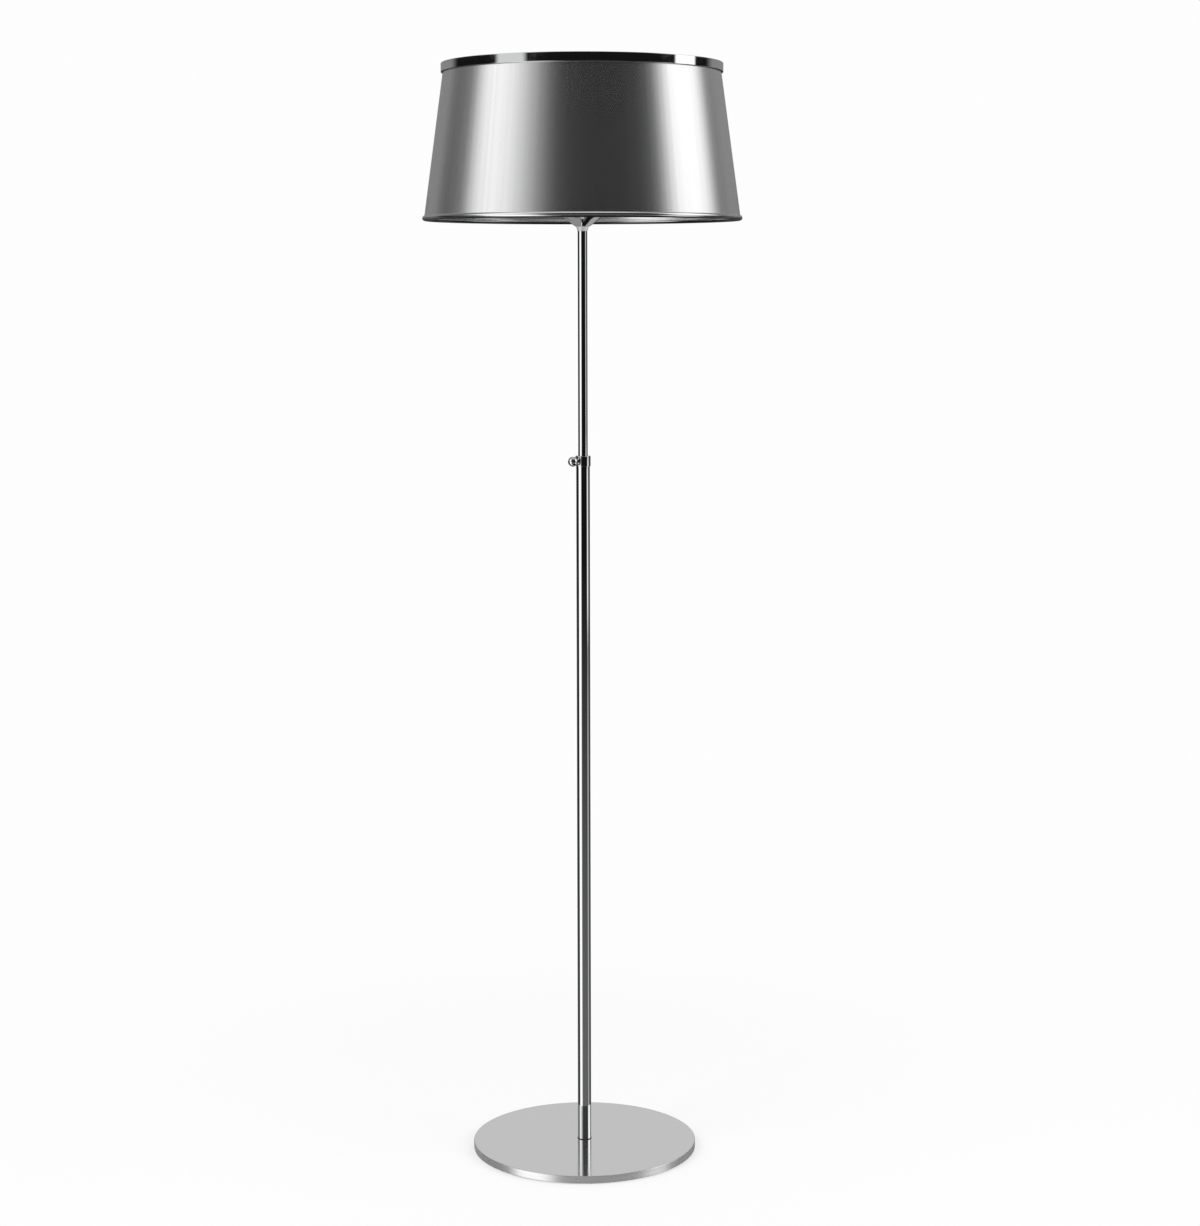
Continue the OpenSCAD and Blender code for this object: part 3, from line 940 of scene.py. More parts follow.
@dataclass
class Stand(Assembly):
    """The plate with its pad and gasket, the lower tube with its cable inlet, and the collar."""

    body: ClassVar[str] = "stand"
    rim_round: float = 0.7 * MM
    bolt_hole: float = 4.3 * MM
    pocket: float = 9.6 * MM
    pocket_depth: float = 4.5 * MM
    pad_round: float = 0.35 * MM
    gasket_foot: float = 0.2
    gasket_top: float = 0.45
    tube_wall: float = 1.0 * MM
    tube_round: float = 0.2 * MM
    inlet_bore: float = 3.0 * MM
    inlet_stem: float = 4.0 * MM
    stem_round: float = 0.3 * MM
    stem_root: float = 0.4 * MM
    flange_round: float = 1.1 * MM
    mouth_round: float = 0.5 * MM
    mouth_draft: float = 0.2 * MM
    mouth_depth: float = 1.2 * MM
    mouth_dish: float = 1.3 * MM
    collar_bore: float = 6.55 * MM
    collar_seat: float = 3.95 * MM
    collar_round: float = 0.4 * MM
    collar_lead: float = 0.15 * MM
    collar_mouth: float = 0.2 * MM
    screw_bore: float = 2.55 * MM

    def build(self) -> None:
        """Build every piece of the stand."""
        for make in (self.plate, self.pad, self.gasket, self.tube, self.grommet, self.collar):
            make()

    def plate(self) -> None:
        """Turn the round plate, with its bolt pocket below and a brushed edge."""
        at = Extent.of("base_plate")
        ceiling = at.low + self.pocket_depth
        outline = [
            Corner(self.bolt_hole, ceiling),
            Corner(self.pocket, ceiling),
            Corner(self.pocket, at.low),
            Corner(at.radius, at.low, self.rim_round),
            Corner(at.radius, at.high, self.rim_round),
            Corner(self.bolt_hole, at.high),
        ]
        piece = self.turned("base_plate", outline, Steps.PLATE, "plate_steel", "plate_steel", "plate_edge")
        with editing(piece):
            choose(
                piece,
                "FACE",
                lambda f: abs(f.normal.z) < UPRIGHT_RISE and f.calc_center_median().xy.length > self.pocket,
            )
            piece.active_material_index = 1
            bpy.ops.object.material_slot_assign()

    def pad(self) -> None:
        """Turn the soft pad under the plate."""
        at = Extent.of("base_pad")
        outline = section(0, at.radius, at.low, at.high, 0, self.pad_round, self.pad_round, 0)
        self.turned("base_pad", outline, Steps.PLATE, "pad_foam")

    def gasket(self) -> None:
        """Turn the gasket between the pole and the plate."""
        at = Extent.of("foot_gasket")
        thick = at.high - at.low
        rounds = (0, thick * self.gasket_foot, thick * self.gasket_top, 0)
        outline = section(self.bolt_hole, at.radius, at.low, at.high, *rounds)
        self.turned("foot_gasket", outline, Steps.FITTING, "black_rubber")

    def tube(self) -> None:
        """Turn the lower tube and bore the cable inlet in its back."""
        at = Extent.of("lower_tube")
        rounds = (self.tube_round,) * 4
        outline = section(at.radius - self.tube_wall, at.radius, at.low, at.high, *rounds)
        piece = turn("lower_tube" + LOOK, outline, Steps.TUBE)
        inlet = self.inlet_height()
        margin = 4 * self.inlet_stem
        with editing(piece):
            slice_at(inlet - margin, inlet + margin)
        bore(piece, self.inlet_stem + self.play, at.radius, Vector((0, at.radius, inlet)), TO_FRONT)
        self.add(piece, "chrome_tube")

    @staticmethod
    def inlet_height() -> float:
        """Height of the cable inlet's axis."""
        low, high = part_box("cable_grommet")
        return (low.z + high.z) / 2

    def grommet(self) -> None:
        """Turn the grommet's round flange, seat it on the tube and add its stem and bore."""
        low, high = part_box("cable_grommet")
        flange = (high.z - low.z) / 2
        middle = Vector((0, 0, self.inlet_height()))
        pole = Extent.of("lower_tube").radius
        outline = [
            Corner(0, pole / 2),
            Corner(flange, pole / 2),
            Corner(flange, high.y, self.flange_round),
            Corner(self.inlet_bore + self.mouth_round, high.y, self.mouth_round),
            Corner(self.inlet_bore - self.mouth_draft, high.y - self.mouth_depth, self.mouth_round),
            Corner(0, high.y - self.mouth_dish),
        ]
        piece = turn("cable_grommet" + LOOK, outline, Steps.SMALL)
        place(piece, middle, TO_BACK)
        bore(piece, pole + self.play, 6 * flange, middle, sides=Steps.TUBE.value)
        outline = section(0, self.inlet_stem, low.y, pole + self.stem_root, 0, self.stem_round, 0, 0)
        stem = turn("grommet_stem", outline, Steps.SMALL)
        place(stem, middle, TO_BACK)
        combine(piece, stem, "UNION")
        bore(piece, self.inlet_bore, 2 * pole, middle + Vector((0, pole, 0)), TO_FRONT)
        self.add(piece, "black_rubber")

    def collar(self) -> None:
        """Turn the collar and bore it for the clamping screw."""
        at = Extent.of("collar")
        seat = Extent.of("lower_tube").radius + self.play
        step = at.low + self.collar_seat
        outline = [
            Corner(seat, at.low, self.collar_lead),
            Corner(at.radius, at.low, self.collar_round),
            Corner(at.radius, at.high, self.collar_round),
            Corner(self.collar_bore, at.high, self.collar_mouth),
            Corner(self.collar_bore, step),
            Corner(seat, step),
        ]
        piece = turn("collar" + LOOK, outline, Steps.FITTING)
        out = Clamp.direction()
        middle = out * at.radius + Vector((0, 0, (at.low + at.high) / 2))
        bore(piece, self.screw_bore, at.radius, middle, (*TO_RIGHT[:2], azimuth(out)))
        self.add(piece, "chrome_fittings")


# ---- Clamp ----


@dataclass
class Clamp(Assembly):
    """The ball knob that clamps the two tubes."""

    body: ClassVar[str] = "knob"
    ball: float = 6.5 * MM
    ball_steps: int = 28
    reach: float = 18.5 * MM
    neck: float = 2.8 * MM
    neck_start: float = 10.3 * MM
    neck_slope: float = math.tan(math.radians(20))
    neck_round: float = 0.1 * MM
    neck_blend: float = 0.8 * MM
    screw_bore: float = 2.55 * MM

    @staticmethod
    def direction() -> Vector:
        """Unit vector along the knob's axis, away from the pole."""
        low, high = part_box("clamp_knob")
        return Vector((low.x + high.x, low.y + high.y, 0)).normalized()

    def build(self) -> None:
        """Turn the ball with its tapered neck, and lay it on its axis."""
        low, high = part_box("clamp_knob")
        # The neck's cone meets the ball where both have the same radius
        k = self.neck_slope
        base = self.neck + k * (self.reach - self.neck_start)
        a, b, c = 1 + k * k, 2 * base * k, base * base - self.ball * self.ball
        meet = (-b - math.sqrt(b * b - 4 * a * c)) / (2 * a)
        meet_angle = math.degrees(math.atan2(meet, base + k * meet))
        ball = arc((0, self.reach), self.ball, meet_angle, 90, self.ball_steps)
        outline = [
            Corner(0, self.reach),
            Corner(self.screw_bore, self.reach),
            Corner(self.screw_bore, self.neck_start),
            Corner(self.neck, self.neck_start, self.neck_round),
            Corner(*ball[0][:2], self.neck_blend),
            *ball[1:-1],
            Corner(0, self.reach + self.ball),
        ]
        piece = turn("clamp_knob" + LOOK, outline, Steps.SMALL)
        place(piece, (0, 0, (low.z + high.z) / 2), (*TO_RIGHT[:2], azimuth(self.direction())))
        self.add(piece, "chrome_fittings")


# ---- Mast ----


@dataclass
class Mast(Assembly):
    """The upper tube with its ferrule and bell."""

    tube_wall: float = 1.25 * MM
    tube_round: float = 0.25 * MM
    groove: float = 0.5 * MM
    ferrule_low: float = 0.45 * MM
    ferrule_high: float = 2.0 * MM
    ferrule_band: float = 0.9 * MM
    ferrule_draft: float = 0.1 * MM
    ferrule_rounds: tuple[float, float, float] = (0.15 * MM, 0.4 * MM, 0.2 * MM)
    bell_floor: float = 8.7 * MM
    bell_hole: float = 5.0 * MM
    bell_flare: float = 12.4 * MM
    bell_waist: float = 0.5 * MM
    bell_wall: float = 1.0 * MM
    bell_foot: float = 0.4 * MM
    bell_shoulder: float = 0.9 * MM
    bell_lip: float = 0.45 * MM
    bell_steps: int = 20

    def build(self) -> None:
        """Build every piece of the mast below the lampholder."""
        for make in (self.tube, self.ferrule, self.bell):
            make()

    def tube(self) -> None:
        """Turn the upper tube, with the two grooves of its snap rings."""
        at = Extent.of("upper_tube")
        rings = Extent.of("snap_rings")
        inner = at.radius - self.tube_wall
        deep = at.radius - self.groove
        thick = Extent.of("tail_bush").low - rings.low
        outline = [Corner(inner, at.low, self.tube_round), Corner(at.radius, at.low, self.tube_round)]
        for low in (rings.low, rings.high - thick):
            high = low + thick
            groove = ((at.radius, low), (deep, low), (deep, high), (at.radius, high))
            outline += [Corner(*place) for place in groove]
        outline += [Corner(at.radius, at.high, self.tube_round), Corner(inner, at.high, self.tube_round)]
        self.turned("upper_tube", outline, Steps.TUBE, "chrome_tube")

    def ferrule(self) -> None:
        """Turn the tapered ferrule under the bell."""
        at = Extent.of("ferrule")
        pole = Extent.of("upper_tube").radius
        lower = pole + self.ferrule_low
        foot, band, top = self.ferrule_rounds
        outline = [
            Corner(pole + self.play, at.low),
            Corner(lower, at.low, foot),
            Corner(lower + self.ferrule_draft, at.low + self.ferrule_band, band),
            Corner(pole + self.ferrule_high, at.high, top),
            Corner(pole + self.play, at.high),
        ]
        self.turned("ferrule", outline, Steps.FITTING, "chrome_fittings", "satin_ferrule")

    def bell(self) -> None:
        """Turn the flared bell with its upright wall and rounded lip."""
        at = Extent.of("bell")
        top = at.low + self.bell_flare
        slope = math.atan2(self.bell_flare, at.radius - self.bell_floor)
        wall = self.bell_wall
        outside = bowed((self.bell_floor, at.low), (at.radius, top), self.bell_waist, self.bell_steps)
        inner_foot = (self.bell_floor - wall * math.tan(slope / 2), at.low + wall)
        inner_top = (at.radius - wall, top + wall * math.tan(math.pi / 4 - slope / 2))
        inside = bowed(inner_foot, inner_top, self.bell_waist, self.bell_steps)
        outline = [
            Corner(self.bell_hole, at.low),
            Corner(*outside[0][:2], self.bell_foot),
            *outside[1:-1],
            Corner(*outside[-1][:2], self.bell_shoulder),
            Corner(at.radius, at.high, self.bell_lip),
            Corner(at.radius - wall, at.high, self.bell_lip),
            *reversed(inside),
            Corner(self.bell_hole, at.low + wall),
        ]
        self.turned("bell", outline, Steps.FITTING, "chrome_fittings")


# ---- Lampholder ----


@dataclass
class Lampholder(Assembly):
    """The lampholder's cap and sleeve, the two threaded rings on it, and the bulb."""

    wall: float = 1.8 * MM
    crisp: float = 0.2 * MM
    fine: float = 0.3 * MM
    eased: float = 0.4 * MM
    soft: float = 0.6 * MM
    cap_hole: float = 5.0 * MM
    cap_boss: float = 7.75 * MM
    cap_floor: float = 4.0 * MM
    cap_shoulder: float = 10.0 * MM
    cap_outside: float = 3.0 * MM
    cap_inside: float = 2.0 * MM
    skirt: float = 8.0 * MM
    lip: float = 14.2 * MM
    neck: float = 3.0 * MM
    band: float = 2.4 * MM
    thread_pitch: float = 2.0 * MM
    thread_depth: float = 0.6 * MM
    thread_round: float = 0.15 * MM
    thread_lead: float = 1.0 * MM
    # Share of a flute's pitch that stays proud, on the cap and on the rings
    cap_land: float = 0.45
    ring_land: float = 0.5
    grip_count: int = 36
    cap_grip: float = 0.5 * MM
    ring_grip: float = 0.7 * MM
    ring_plain: float = 0.8 * MM
    hub: float = 2.0 * MM
    contact: float = 4.5 * MM
    contact_round: float = 0.8 * MM
    cone: float = 3.0 * MM
    cone_draw: float = 2.0 * MM
    insulator: float = 4.0 * MM
    shell_low: float = 2.0 * MM
    shell_high: float = 4.0 * MM
    shell_band: float = 3.0 * MM
    bulb_shell: float = 1.0 * MM
    # How far the ball reaches below its middle, in degrees
    bulb_low: float = 40.0
    bulb_waist: float = 1.2 * MM
    bulb_neck_steps: int = 16
    bulb_ball_steps: int = 40

    def build(self) -> None:
        """Build every piece of the lampholder that shows."""
        for make in (self.cap, self.sleeve, self.rings, self.bulb_cap, self.bulb_glass):
            make()

    def cap(self) -> None:
        """Turn the lower cap and sink grip flutes into its wall."""
        at = Extent.of("holder_cap")
        inner = at.radius - self.wall
        shoulder = at.low + self.cap_shoulder
        outline = [
            Corner(self.cap_hole, at.low),
            Corner(self.cap_boss, at.low, self.soft),
            Corner(at.radius, shoulder, self.cap_outside),
            Corner(at.radius, at.high, self.eased),
            Corner(inner, at.high, self.crisp),
            Corner(inner, shoulder + self.wall, self.cap_inside),
            Corner(self.cap_boss, at.low + self.cap_floor, self.soft),
            Corner(self.cap_hole, at.low + self.cap_floor),
        ]
        piece = turn("holder_cap" + LOOK, outline, Steps.FITTING)
        low, high = shoulder + self.cap_outside, at.high - self.cap_inside
        flute(piece, at.radius, low, high, self.grip_count, self.cap_grip, self.cap_land)
        self.add(piece, "white_thermoset")

    def thread(self, crest: float, low: float, high: float) -> list[Corner]:
        """The outline of a rolled thread.

        Args:
            crest: Radius over the crests.
            low: Where the thread starts.
            high: Where it ends.

        Returns:
            Its corners, from low to high.
        """
        root = crest - self.thread_depth
        steps = ((crest, 0.15), (crest, 0.35), (root, 0.65), (root, 0.85))
        turns = range(int((high - low) / self.thread_pitch))
        return [
            Corner(radius, low + (i + share) * self.thread_pitch, self.thread_round)
            for i in turns
            for radius, share in steps
        ]

    def sleeve(self) -> None:
        """Turn the upper sleeve, with the thread that carries the two rings."""
        at = Extent.of("holder_sleeve")
        foot = at.low + self.skirt
        skirt = at.radius - self.wall - self.play
        outline = [
            Corner(skirt - self.wall, at.low),
            Corner(skirt, at.low),
            Corner(skirt, foot),
            Corner(at.radius, foot, self.fine),
            *self.thread(at.radius, foot + self.thread_lead, at.high - self.neck),
            Corner(at.radius, at.high - self.band, self.crisp),
            Corner(at.radius, at.high, self.soft),
            Corner(self.lip, at.high, self.soft),
            Corner(self.lip, at.high - self.wall),
            Corner(skirt - self.wall, at.high - 2 * self.wall),
        ]
        self.turned("holder_sleeve", outline, Steps.FITTING, "white_thermoset")

    def rings(self) -> None:
        """Turn one threaded ring with a fluted grip, and copy it above the carrier."""
        at = Extent.of("clamp_rings")
        bore_radius = Extent.of("holder_sleeve").radius + self.play
        height = (at.high - at.low - self.hub) / 2
        rounds = (self.crisp, self.soft, self.soft, self.crisp)
        outline = section(bore_radius, at.radius, at.low, at.low + height, *rounds)
        lower = turn("clamp_rings" + LOOK, outline, Steps.FITTING)
        low, high = at.low + self.ring_plain, at.low + height - self.ring_plain
        flute(lower, at.radius, low, high, self.grip_count, self.ring_grip, self.ring_land)
        upper = copied(lower, (0, 0, at.high - at.low - height))
        self.add(join([lower, upper]), "white_thermoset")

    def bulb_cap(self) -> None:
        """Turn the bulb's screw cap with its rolled thread."""
        at = Extent.of("bulb_cap")
        insulator = at.low + self.insulator
        inner = at.radius - self.bulb_shell
        outline = [
            Corner(0, at.low),
            Corner(self.contact, at.low, self.contact_round),
            Corner(at.radius - self.cone_draw, at.low + self.cone, self.soft),
            Corner(at.radius, insulator, self.fine),
            *self.thread(at.radius, insulator + self.shell_low, at.high - self.shell_high),
            Corner(at.radius, at.high - self.shell_band, self.eased),
            Corner(at.radius, at.high, self.crisp),
            Corner(inner, at.high),
            Corner(inner, insulator + self.bulb_shell),
            Corner(0, insulator + self.bulb_shell),
        ]
        self.turned("bulb_cap", outline, Steps.SMALL, "plated_cap")

    def glass_line(self, depth: float) -> list[Corner]:
        """Half of the glass's outline: a straight foot in the cap, a neck and a ball.

        Args:
            depth: How far the line is drawn in.

        Returns:
            The corners, from the foot to the top.
        """
        at = Extent.of("bulb_glass")
        cap = Extent.of("bulb_cap")
        radius = at.radius - depth
        centre = at.high - at.radius
        low = math.radians(self.bulb_low)
        shoulder = (radius * math.cos(low), centre - radius * math.sin(low))
        neck = cap.radius - self.bulb_shell - self.play - depth
        return [
            Corner(neck, at.low),
            *bowed((neck, cap.high), shoulder, -self.bulb_waist, self.bulb_neck_steps),
            *arc((0, centre), radius, -self.bulb_low, 90, self.bulb_ball_steps)[1:-1],
            Corner(0, centre + radius),
        ]

    def bulb_glass(self) -> None:
        """Turn the bulb's glass as a thin shell."""
        outline = [*reversed(self.glass_line(0)), *self.glass_line(self.bulb_shell)]
        self.turned("bulb_glass", outline, Steps.FITTING, "opal_glass")


# ---- Shade ----


@dataclass
class Shade(Assembly):
    """The conical sheet with its bead, ring and lap joint, and the carrier that holds it."""

    sheet: float = 1.0 * MM
    sheet_round: float = 0.1 * MM
    top_radius: float = 178.0 * MM
    joint_gap: float = 0.35 * MM
    # Azimuth of the lap joint, at the back
    joint: float = math.pi / 2
    bead: float = 3.5 * MM
    bead_wall: float = 0.7 * MM
    bead_proud: float = 2.4 * MM
    bead_steps: int = 40
    bead_inner_steps: int = 30
    rim_wall: float = 1.3 * MM
    rim_lip: float = 0.52 * MM
    rim_inside: float = 0.3 * MM
    rim_outside: float = 0.6 * MM
    groove_play: float = 0.15 * MM
    # Depth of what is fixed inside the sheet, under its outer face
    inside: float = 1.3 * MM
    seam_wall: float = 0.6 * MM
    seam_width: float = 14.0 * MM
    strip_faces: int = 6
    # Rounding of a strip's corners, as a share of its thickness
    strip_round: float = 0.3
    arms: int = 3
    first_arm: float = math.radians(30)
    arm_width: float = 8.0 * MM
    arm_wall: float = 2.0 * MM
    arm_overlap: float = 1.0 * MM
    rib_aside: float = 2.4 * MM
    rib_rim: float = 0.4 * MM
    rib_depth: float = 0.5 * MM
    arm_round: float = 0.35 * MM
    hub_bore: float = 19.05 * MM
    hub_radius: float = 28.05 * MM
    hub_round: float = 0.3 * MM
    foot_width: float = 21.0 * MM
    foot_wall: float = 1.5 * MM
    weld_radius: float = 1.9 * MM
    weld_top: float = 1.425 * MM
    weld_rise: float = 0.35 * MM
    weld_crown: float = 0.455 * MM
    weld_round: float = 0.2 * MM
    weld_faces: int = 24
    weld_aside: float = 6.5 * MM
    weld_margin: float = 5.0 * MM

    def build(self) -> None:
        """Build every piece of the shade."""
        for make in (self.cone, self.rolled_bead, self.ring, self.seam, self.carrier):
            make()

    def radius_at(self, height: float) -> float:
        """Outer radius of the sheet at a height."""
        at = Extent.of("shade_sheet")
        return at.radius + (self.top_radius - at.radius) * (height - at.low) / (at.high - at.low)

    def layer(self, depth: float, wall: float, low: float, high: float, fillet: float) -> list[Corner]:
        """The outline of a layer that lies along the sheet.

        Args:
            depth: Depth of its outer face under the sheet's outer face.
            wall: Its thickness.
            low: Its lower height.
            high: Its upper height.
            fillet: The rounding of its corners.

        Returns:
            Its four corners.
        """
        below = self.radius_at(low) - depth
        above = self.radius_at(high) - depth
        places = ((below - wall, low), (below, low), (above, high), (above - wall, high))
        return [Corner(*place, fillet) for place in places]

    def cone(self) -> None:
        """Turn the sheet, open at the back by the fine gap of its butt joint."""
        at = Extent.of("shade_sheet")
        gap = self.joint_gap / at.radius
        outline = self.layer(0, self.sheet, at.low, at.high, self.sheet_round)
        piece = turn("shade_sheet" + LOOK, outline, Steps.SHADE, self.joint + gap / 2, FULL_TURN - gap)
        self.add(piece, "satin_shade")

    def rolled_bead(self) -> None:
        """Turn the bead: a curl of metal, open where it takes the sheet."""
        at = Extent.of("shade_sheet")
        centre = (at.radius + self.bead_proud - self.bead, at.low)
        # Where the sheet's two faces, with their play, pass through the top of the curl
        outer_face = at.radius + self.groove_play - centre[0]
        inner_face = at.radius - self.sheet - self.groove_play - centre[0]
        start = math.degrees(math.acos(inner_face / self.bead))
        end = 360 + math.degrees(math.acos(outer_face / self.bead))
        outside = arc(centre, self.bead, start, end, self.bead_steps)
        inside = arc(centre, self.bead - self.bead_wall, end, start, self.bead_inner_steps)
        self.turned("shade_bead", [*outside, *inside], Steps.SHADE, "satin_shade", "satin_bead")

    def ring(self) -> None:
        """Turn the polished channel over the sheet's upper edge."""
        at = Extent.of("shade_rim")
        wall = self.rim_wall
        inner = self.top_radius - self.sheet - self.groove_play - wall
        outline = [
            Corner(inner, at.low, self.rim_lip),
            Corner(inner + wall, at.low, self.rim_lip),
            Corner(inner + wall, at.high - wall, self.rim_inside),
            Corner(at.radius - wall, at.high - wall, self.rim_inside),
            Corner(at.radius - wall, at.low, self.rim_lip),
            Corner(at.radius, at.low, self.rim_lip),
            Corner(at.radius, at.high, self.rim_outside),
            Corner(inner, at.high, self.rim_outside),
        ]
        self.turned("shade_rim", outline, Steps.SHADE, "chrome_rim")

    def strip(
        self, name: str, wall: float, low: float, high: float, width: float, middle: float = 0.0
    ) -> Piece:
        """Bend a strip of metal along the inside of the sheet.

        Args:
            name: The strip's name.
            wall: Its thickness.
            low: Its lower height.
            high: Its upper height.
            width: Its width at the lower end.
            middle: Azimuth of its middle.

        Returns:
            The strip.
        """
        span = width / self.radius_at(low)
        outline = self.layer(self.inside, wall, low, high, self.strip_round * wall)
        return turn(name, outline, Steps.SHADE, middle - span / 2, span, self.strip_faces)

    def seam(self) -> None:
        """Lay the strip of the lap joint inside the sheet, at the back."""
        at = Extent.of("shade_seam")
        name = "shade_seam" + LOOK
        piece = self.strip(name, self.seam_wall, at.low, at.high, self.seam_width, self.joint)
        self.add(piece, "satin_shade")

    def arm(self, start: float, end: float, low: float) -> Piece:
        """Press one arm along +X: a flat bar with round edges and a stiffening rib.

        Args:
            start: Where the arm starts, from the pole.
            end: Where it ends.
            low: Height of its underside.

        Returns:
            The arm.
        """
        clear_selection()
        bpy.ops.mesh.primitive_cube_add(size=1)
        bar = bpy.context.object
        bar.scale = (end - start, self.arm_width, self.arm_wall)
        place(bar, ((start + end) / 2, 0, low + self.arm_wall / 2))
        with editing(bar):
            choose(bar, "FACE", lambda f: f.normal.z > LEVEL_RISE)
            bpy.ops.mesh.inset(thickness=self.rib_aside)
            bpy.ops.mesh.inset(thickness=self.rib_rim, depth=-self.rib_depth)
            choose(bar, "EDGE", lambda e: e.calc_face_angle(0) > SHARP_ANGLE)
            bpy.ops.mesh.bevel(offset=self.arm_round, segments=3, affect="EDGES")
        return bar

    def welds(self, low: float, high: float) -> list[Piece]:
        """Shape one spot weld, a low round button, and copy it to the foot's four corners.

        Args:
            low: Height of the lower marks.
            high: Height of the upper marks.

        Returns:
            The four marks.
        """
        outline = [
            Corner(0, 0),
            Corner(self.weld_radius, 0),
            Corner(self.weld_top, self.weld_rise, self.weld_round),
            Corner(0, self.weld_crown),
        ]
        button = turn("weld_mark", outline, Steps.SMALL, faces=self.weld_faces)
        marks = []
        for height in (low, high):
            face = self.radius_at(height) - self.inside - self.foot_wall
            for aside in (-self.weld_aside / face, self.weld_aside / face):
                at = (face * math.cos(aside), face * math.sin(aside), height)
                marks.append(copied(button, at, (0, -math.pi / 2, aside)))
        bpy.data.objects.remove(button)
        return marks

    def carrier(self) -> None:
        """Build the carrier: a hub between the two rings, three arms and the feet that hold the sheet.

        One arm is made with its foot and its welds, and the others are copies of it.
        """
        rings = Extent.of("clamp_rings")
        foot = Extent.of("shade_carrier")
        hub_low = rings.low + (rings.high - rings.low - self.arm_wall) / 2
        rounds = (self.hub_round,) * 4
        outline = section(self.hub_bore, self.hub_radius, hub_low, hub_low + self.arm_wall, *rounds)
        hub = turn("shade_carrier" + LOOK, outline, Steps.FITTING)
        end = self.radius_at(hub_low + self.arm_wall / 2) - self.inside - self.foot_wall / 2
        branch = join([
            self.arm(self.hub_radius - self.arm_overlap, end, hub_low),
            self.strip("foot", self.foot_wall, foot.low, foot.high, self.foot_width),
            *self.welds(foot.low + self.weld_margin, foot.high - self.weld_margin),
        ])
        others = [copied(branch, turn_by=(0, 0, i * FULL_TURN / self.arms)) for i in range(1, self.arms)]
        branches = join([branch, *others])
        place(branches, turn_by=(0, 0, self.first_arm))
        self.add(join([hub, branches]), "zinc_steel")


# ---- Hidden pieces that keep their CAD shape ----


@dataclass
class Hardware:
    """The CAD nodes that stay as they are, by their finish."""

    finishes: Finishes
    nodes: ClassVar[dict[str, str]] = {
        "zinc_steel": "base_bolt lock_washer foot_plug clamp_screw snap_rings nipple nipple_nut",
        "white_nylon": "guide_bush brake_pellet tail_bush cable_liner",
        "white_ceramic": "holder_core",
        "bright_brass": "holder_contact holder_thread",
    }

    def build(self) -> None:
        """Dress each node."""
        for finish, nodes in self.nodes.items():
            for node in nodes.split():
                self.finishes.dress(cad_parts[node], finish)
                log.info("%s keeps its CAD shape, in %s", node, finish)


# ---- Studio ----


@dataclass(frozen=True)
class Panel:
    """A soft light panel of the studio, as a patch of the sky that polished metal mirrors.

    Angles are in degrees. Left and right are counted from the viewer's side, with right positive.
    """

    name: str
    left: float
    right: float
    low: float
    high: float
    level: float
    soft: float = 4.0
    soft_right: float | None = None
    soft_up: float = 3.0

    def values(self) -> dict[str, float]:
        """Give its edges, their softness and its level.

        Returns:
            The numbers by name.
        """
        numbers = asdict(self)
        del numbers["name"]
        if self.soft_right is None:
            numbers["soft_right"] = self.soft
        return numbers


class Fade(NamedTuple):
    """A soft change of level between two angles or distances."""

    start: float
    end: float
    first: float = 0.0
    last: float = 1.0


class Lamp(NamedTuple):
    """A soft square lamp, with its place, its width and its power in watts."""

    name: str
    at: tuple[float, float, float]
    size: float
    power: float


